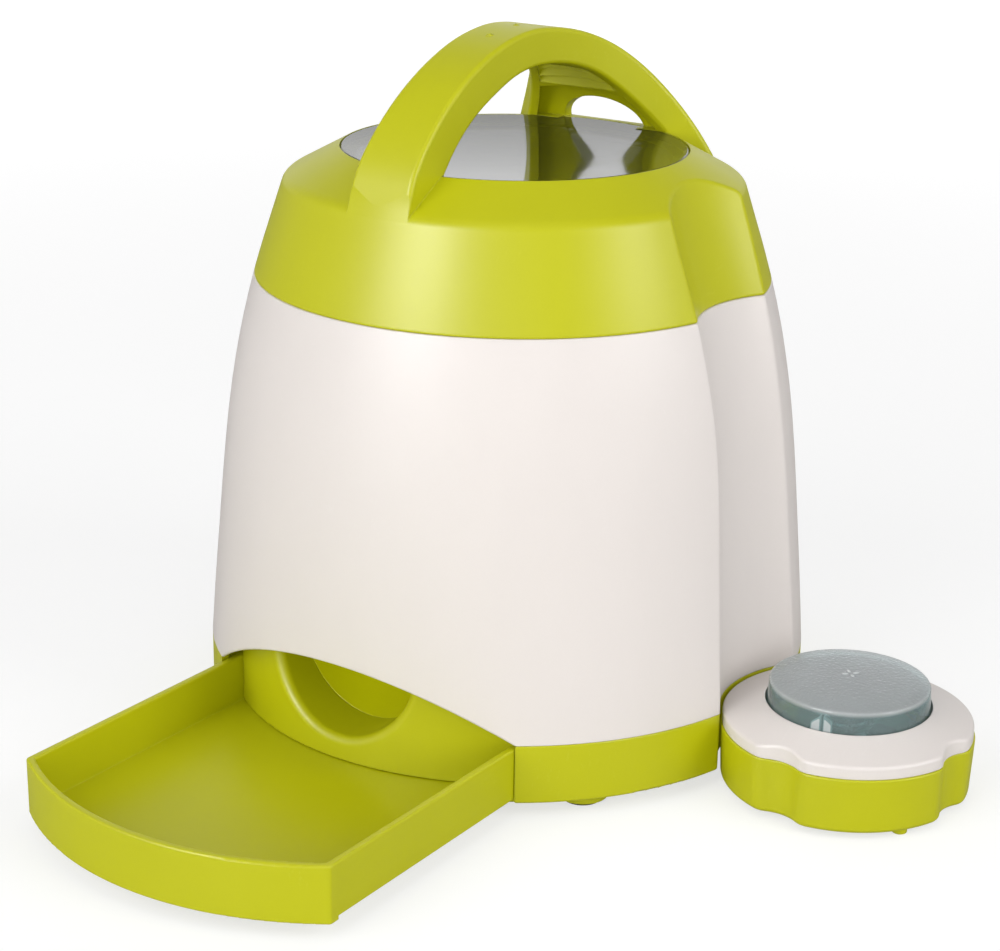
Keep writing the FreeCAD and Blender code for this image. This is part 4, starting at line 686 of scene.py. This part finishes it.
# ------------------------------------------------------------------ stage
def floor_material():
    """Matt white floor. Seen directly it evens out to a pale sweep; seen from below it is clear."""
    g = Graph("studio_floor")
    clouds = g.noise(scale=5.0, detail=3.0)
    fine = g.noise(scale=900.0)
    white = g.mix(g.spread(clouds), (0.900, 0.900, 0.900), (0.915, 0.915, 0.915))
    matt = g.out("BsdfPrincipled", Base_Color=white, Specular_IOR_Level=0.1,
                 Roughness=g.spread(fine, low=0.75, high=0.9), Normal=g.bump(fine, depth=0.01))
    # glow by distance in metres, brighter far out
    distance = g.vector_math("LENGTH", g.coords["Object"])
    glow = g.out("Emission", Color=(1.0, 1.0, 1.0),
                 Strength=g.step(distance, start=0.2, end=1.8, low=1.08, high=1.62))
    real_share = 0.38
    direct = g.mix_shader(real_share, glow, matt)
    # light thrown back at the object is kept down, and its mirror image fainter still
    black = (0.0, 0.0, 0.0)
    rays = g.node("LightPath").outputs
    mirrored = g.out("BsdfDiffuse", Color=g.mix(0.65, white, black))
    bounced = g.out("BsdfDiffuse", Color=g.mix(0.34, white, black))
    indirect = g.mix_shader(rays["Is Glossy Ray"], bounced, mirrored)
    above = g.mix_shader(rays["Is Camera Ray"], indirect, direct)
    return g.finish(g.mix_shader(g.geometry["Backfacing"], above, g.out("BsdfTransparent")))


def floor():
    half = 6.0
    material = floor_material()
    mesh = bpy.data.meshes.new("floor")
    corners = [(-half, -half, 0), (half, -half, 0), (half, half, 0), (-half, half, 0)]
    mesh.from_pydata(corners, [], [(0, 1, 2, 3)])
    mesh.materials.append(material)
    ob = bpy.data.objects.new("floor", mesh)
    scene.collection.objects.link(ob)


def direction(azimuth, elevation):
    """Unit vector from degrees: azimuth runs from -Y towards +X, elevation up from the floor."""
    a, e = math.radians(azimuth), math.radians(elevation)
    return Vector((math.sin(a) * math.cos(e), -math.cos(a) * math.cos(e), math.sin(e)))


LIGHT_AIM = Vector((0, 0, 0.09))
# name, azimuth, elevation, distance m, width m, height m, power W, lights diffuse, lights glossy
SOFTBOXES = [
    ("key_left", -14, 32, 1.5, 1.15, 1.05, 9.6, True, False),
    ("key_left_sheen", -12, 28, 1.5, 0.62, 0.60, 22.0, False, True),
    ("key_right", 96, 28, 1.6, 0.85, 1.0, 11.5, True, False),
    ("key_right_sheen", 93, 24, 1.6, 0.50, 0.60, 9.5, False, True),
    ("front_fill", -6, 6, 1.4, 0.80, 0.50, 4.8, True, True),
    ("side_fill", 36, 7, 1.4, 0.60, 0.40, 3.6, True, False),
    ("overhead", 40, 80, 1.7, 1.2, 1.2, 4.0, True, False),
]


def softboxes():
    for name, azimuth, elevation, distance, width, height, power, diffuse, glossy in SOFTBOXES:
        light = bpy.data.lights.new(name, "AREA")
        light.shape = "RECTANGLE"
        light.size, light.size_y = width, height
        light.energy = power
        ob = bpy.data.objects.new(name, light)
        scene.collection.objects.link(ob)
        way = direction(azimuth, elevation)
        ob.location = LIGHT_AIM + way * distance
        ob.rotation_mode = "QUATERNION"
        ob.rotation_quaternion = way.to_track_quat("Z", "Y")
        ob.visible_camera = False
        ob.visible_diffuse = diffuse
        ob.visible_glossy = glossy


def studio_world():
    """Sky that darkens upwards, dimmed for diffuse rays and for most glossy ones."""
    g = Graph("studio", kind="World")
    view = g.coords["Generated"]
    ramp = g.node("ValToRGB", Fac=g.xyz(view)[2])
    stops = ramp.color_ramp.elements
    stops[0].position, stops[0].color = 0.0, (1.05, 1.05, 1.05, 1)
    stops[1].position, stops[1].color = 0.30, (1.05, 1.05, 1.05, 1)
    for position, grey in ((0.55, 0.55), (1.0, 0.40)):
        stops.new(position).color = (grey, grey, grey * 1.01, 1)
    rays = g.node("LightPath").outputs
    diffuse = g.remap(rays["Is Diffuse Ray"], start=0, end=1, low=1.0, high=0.62)
    # mirror-like surfaces see a dim studio, apart from the bright sweep behind the object
    behind = g.vector_math("DOT_PRODUCT", view, direction(azimuth=214, elevation=8))
    sweep = g.step(behind, start=0.78, end=0.93, low=0.36, high=1.04)
    glossy = g.remap(rays["Is Glossy Ray"], start=0, end=1, low=1.0, high=sweep)
    g.finish(g.out("Background", Color=ramp.outputs[0], Strength=g.times(diffuse, glossy)))
    scene.world = g.owner


def camera():
    azimuth, elevation, roll = 33.878384, 18.971547, math.radians(0.8601704)
    data = bpy.data.cameras.new("camera")
    data.sensor_width = 36.0
    data.lens = 83.809
    data.clip_start, data.clip_end = 0.02, 50.0
    ob = bpy.data.objects.new("camera", data)
    scene.collection.objects.link(ob)
    back = direction(azimuth, elevation)
    right = direction(azimuth + 90, 0)
    up = back.cross(right)
    axis_x = right * math.cos(roll) + up * math.sin(roll)
    axis_y = -right * math.sin(roll) + up * math.cos(roll)
    turn = Matrix((axis_x, axis_y, back)).transposed().to_4x4()
    ob.matrix_world = Matrix.Translation(DRUM + Vector((0.326907, -0.491441, 0.264002))) @ turn
    scene.camera = ob


floor()
softboxes()
studio_world()
scene.view_settings.view_transform = "Standard"
scene.view_settings.look = "None"
scene.view_settings.exposure = 0.0
scene.view_settings.gamma = 1.0
camera()
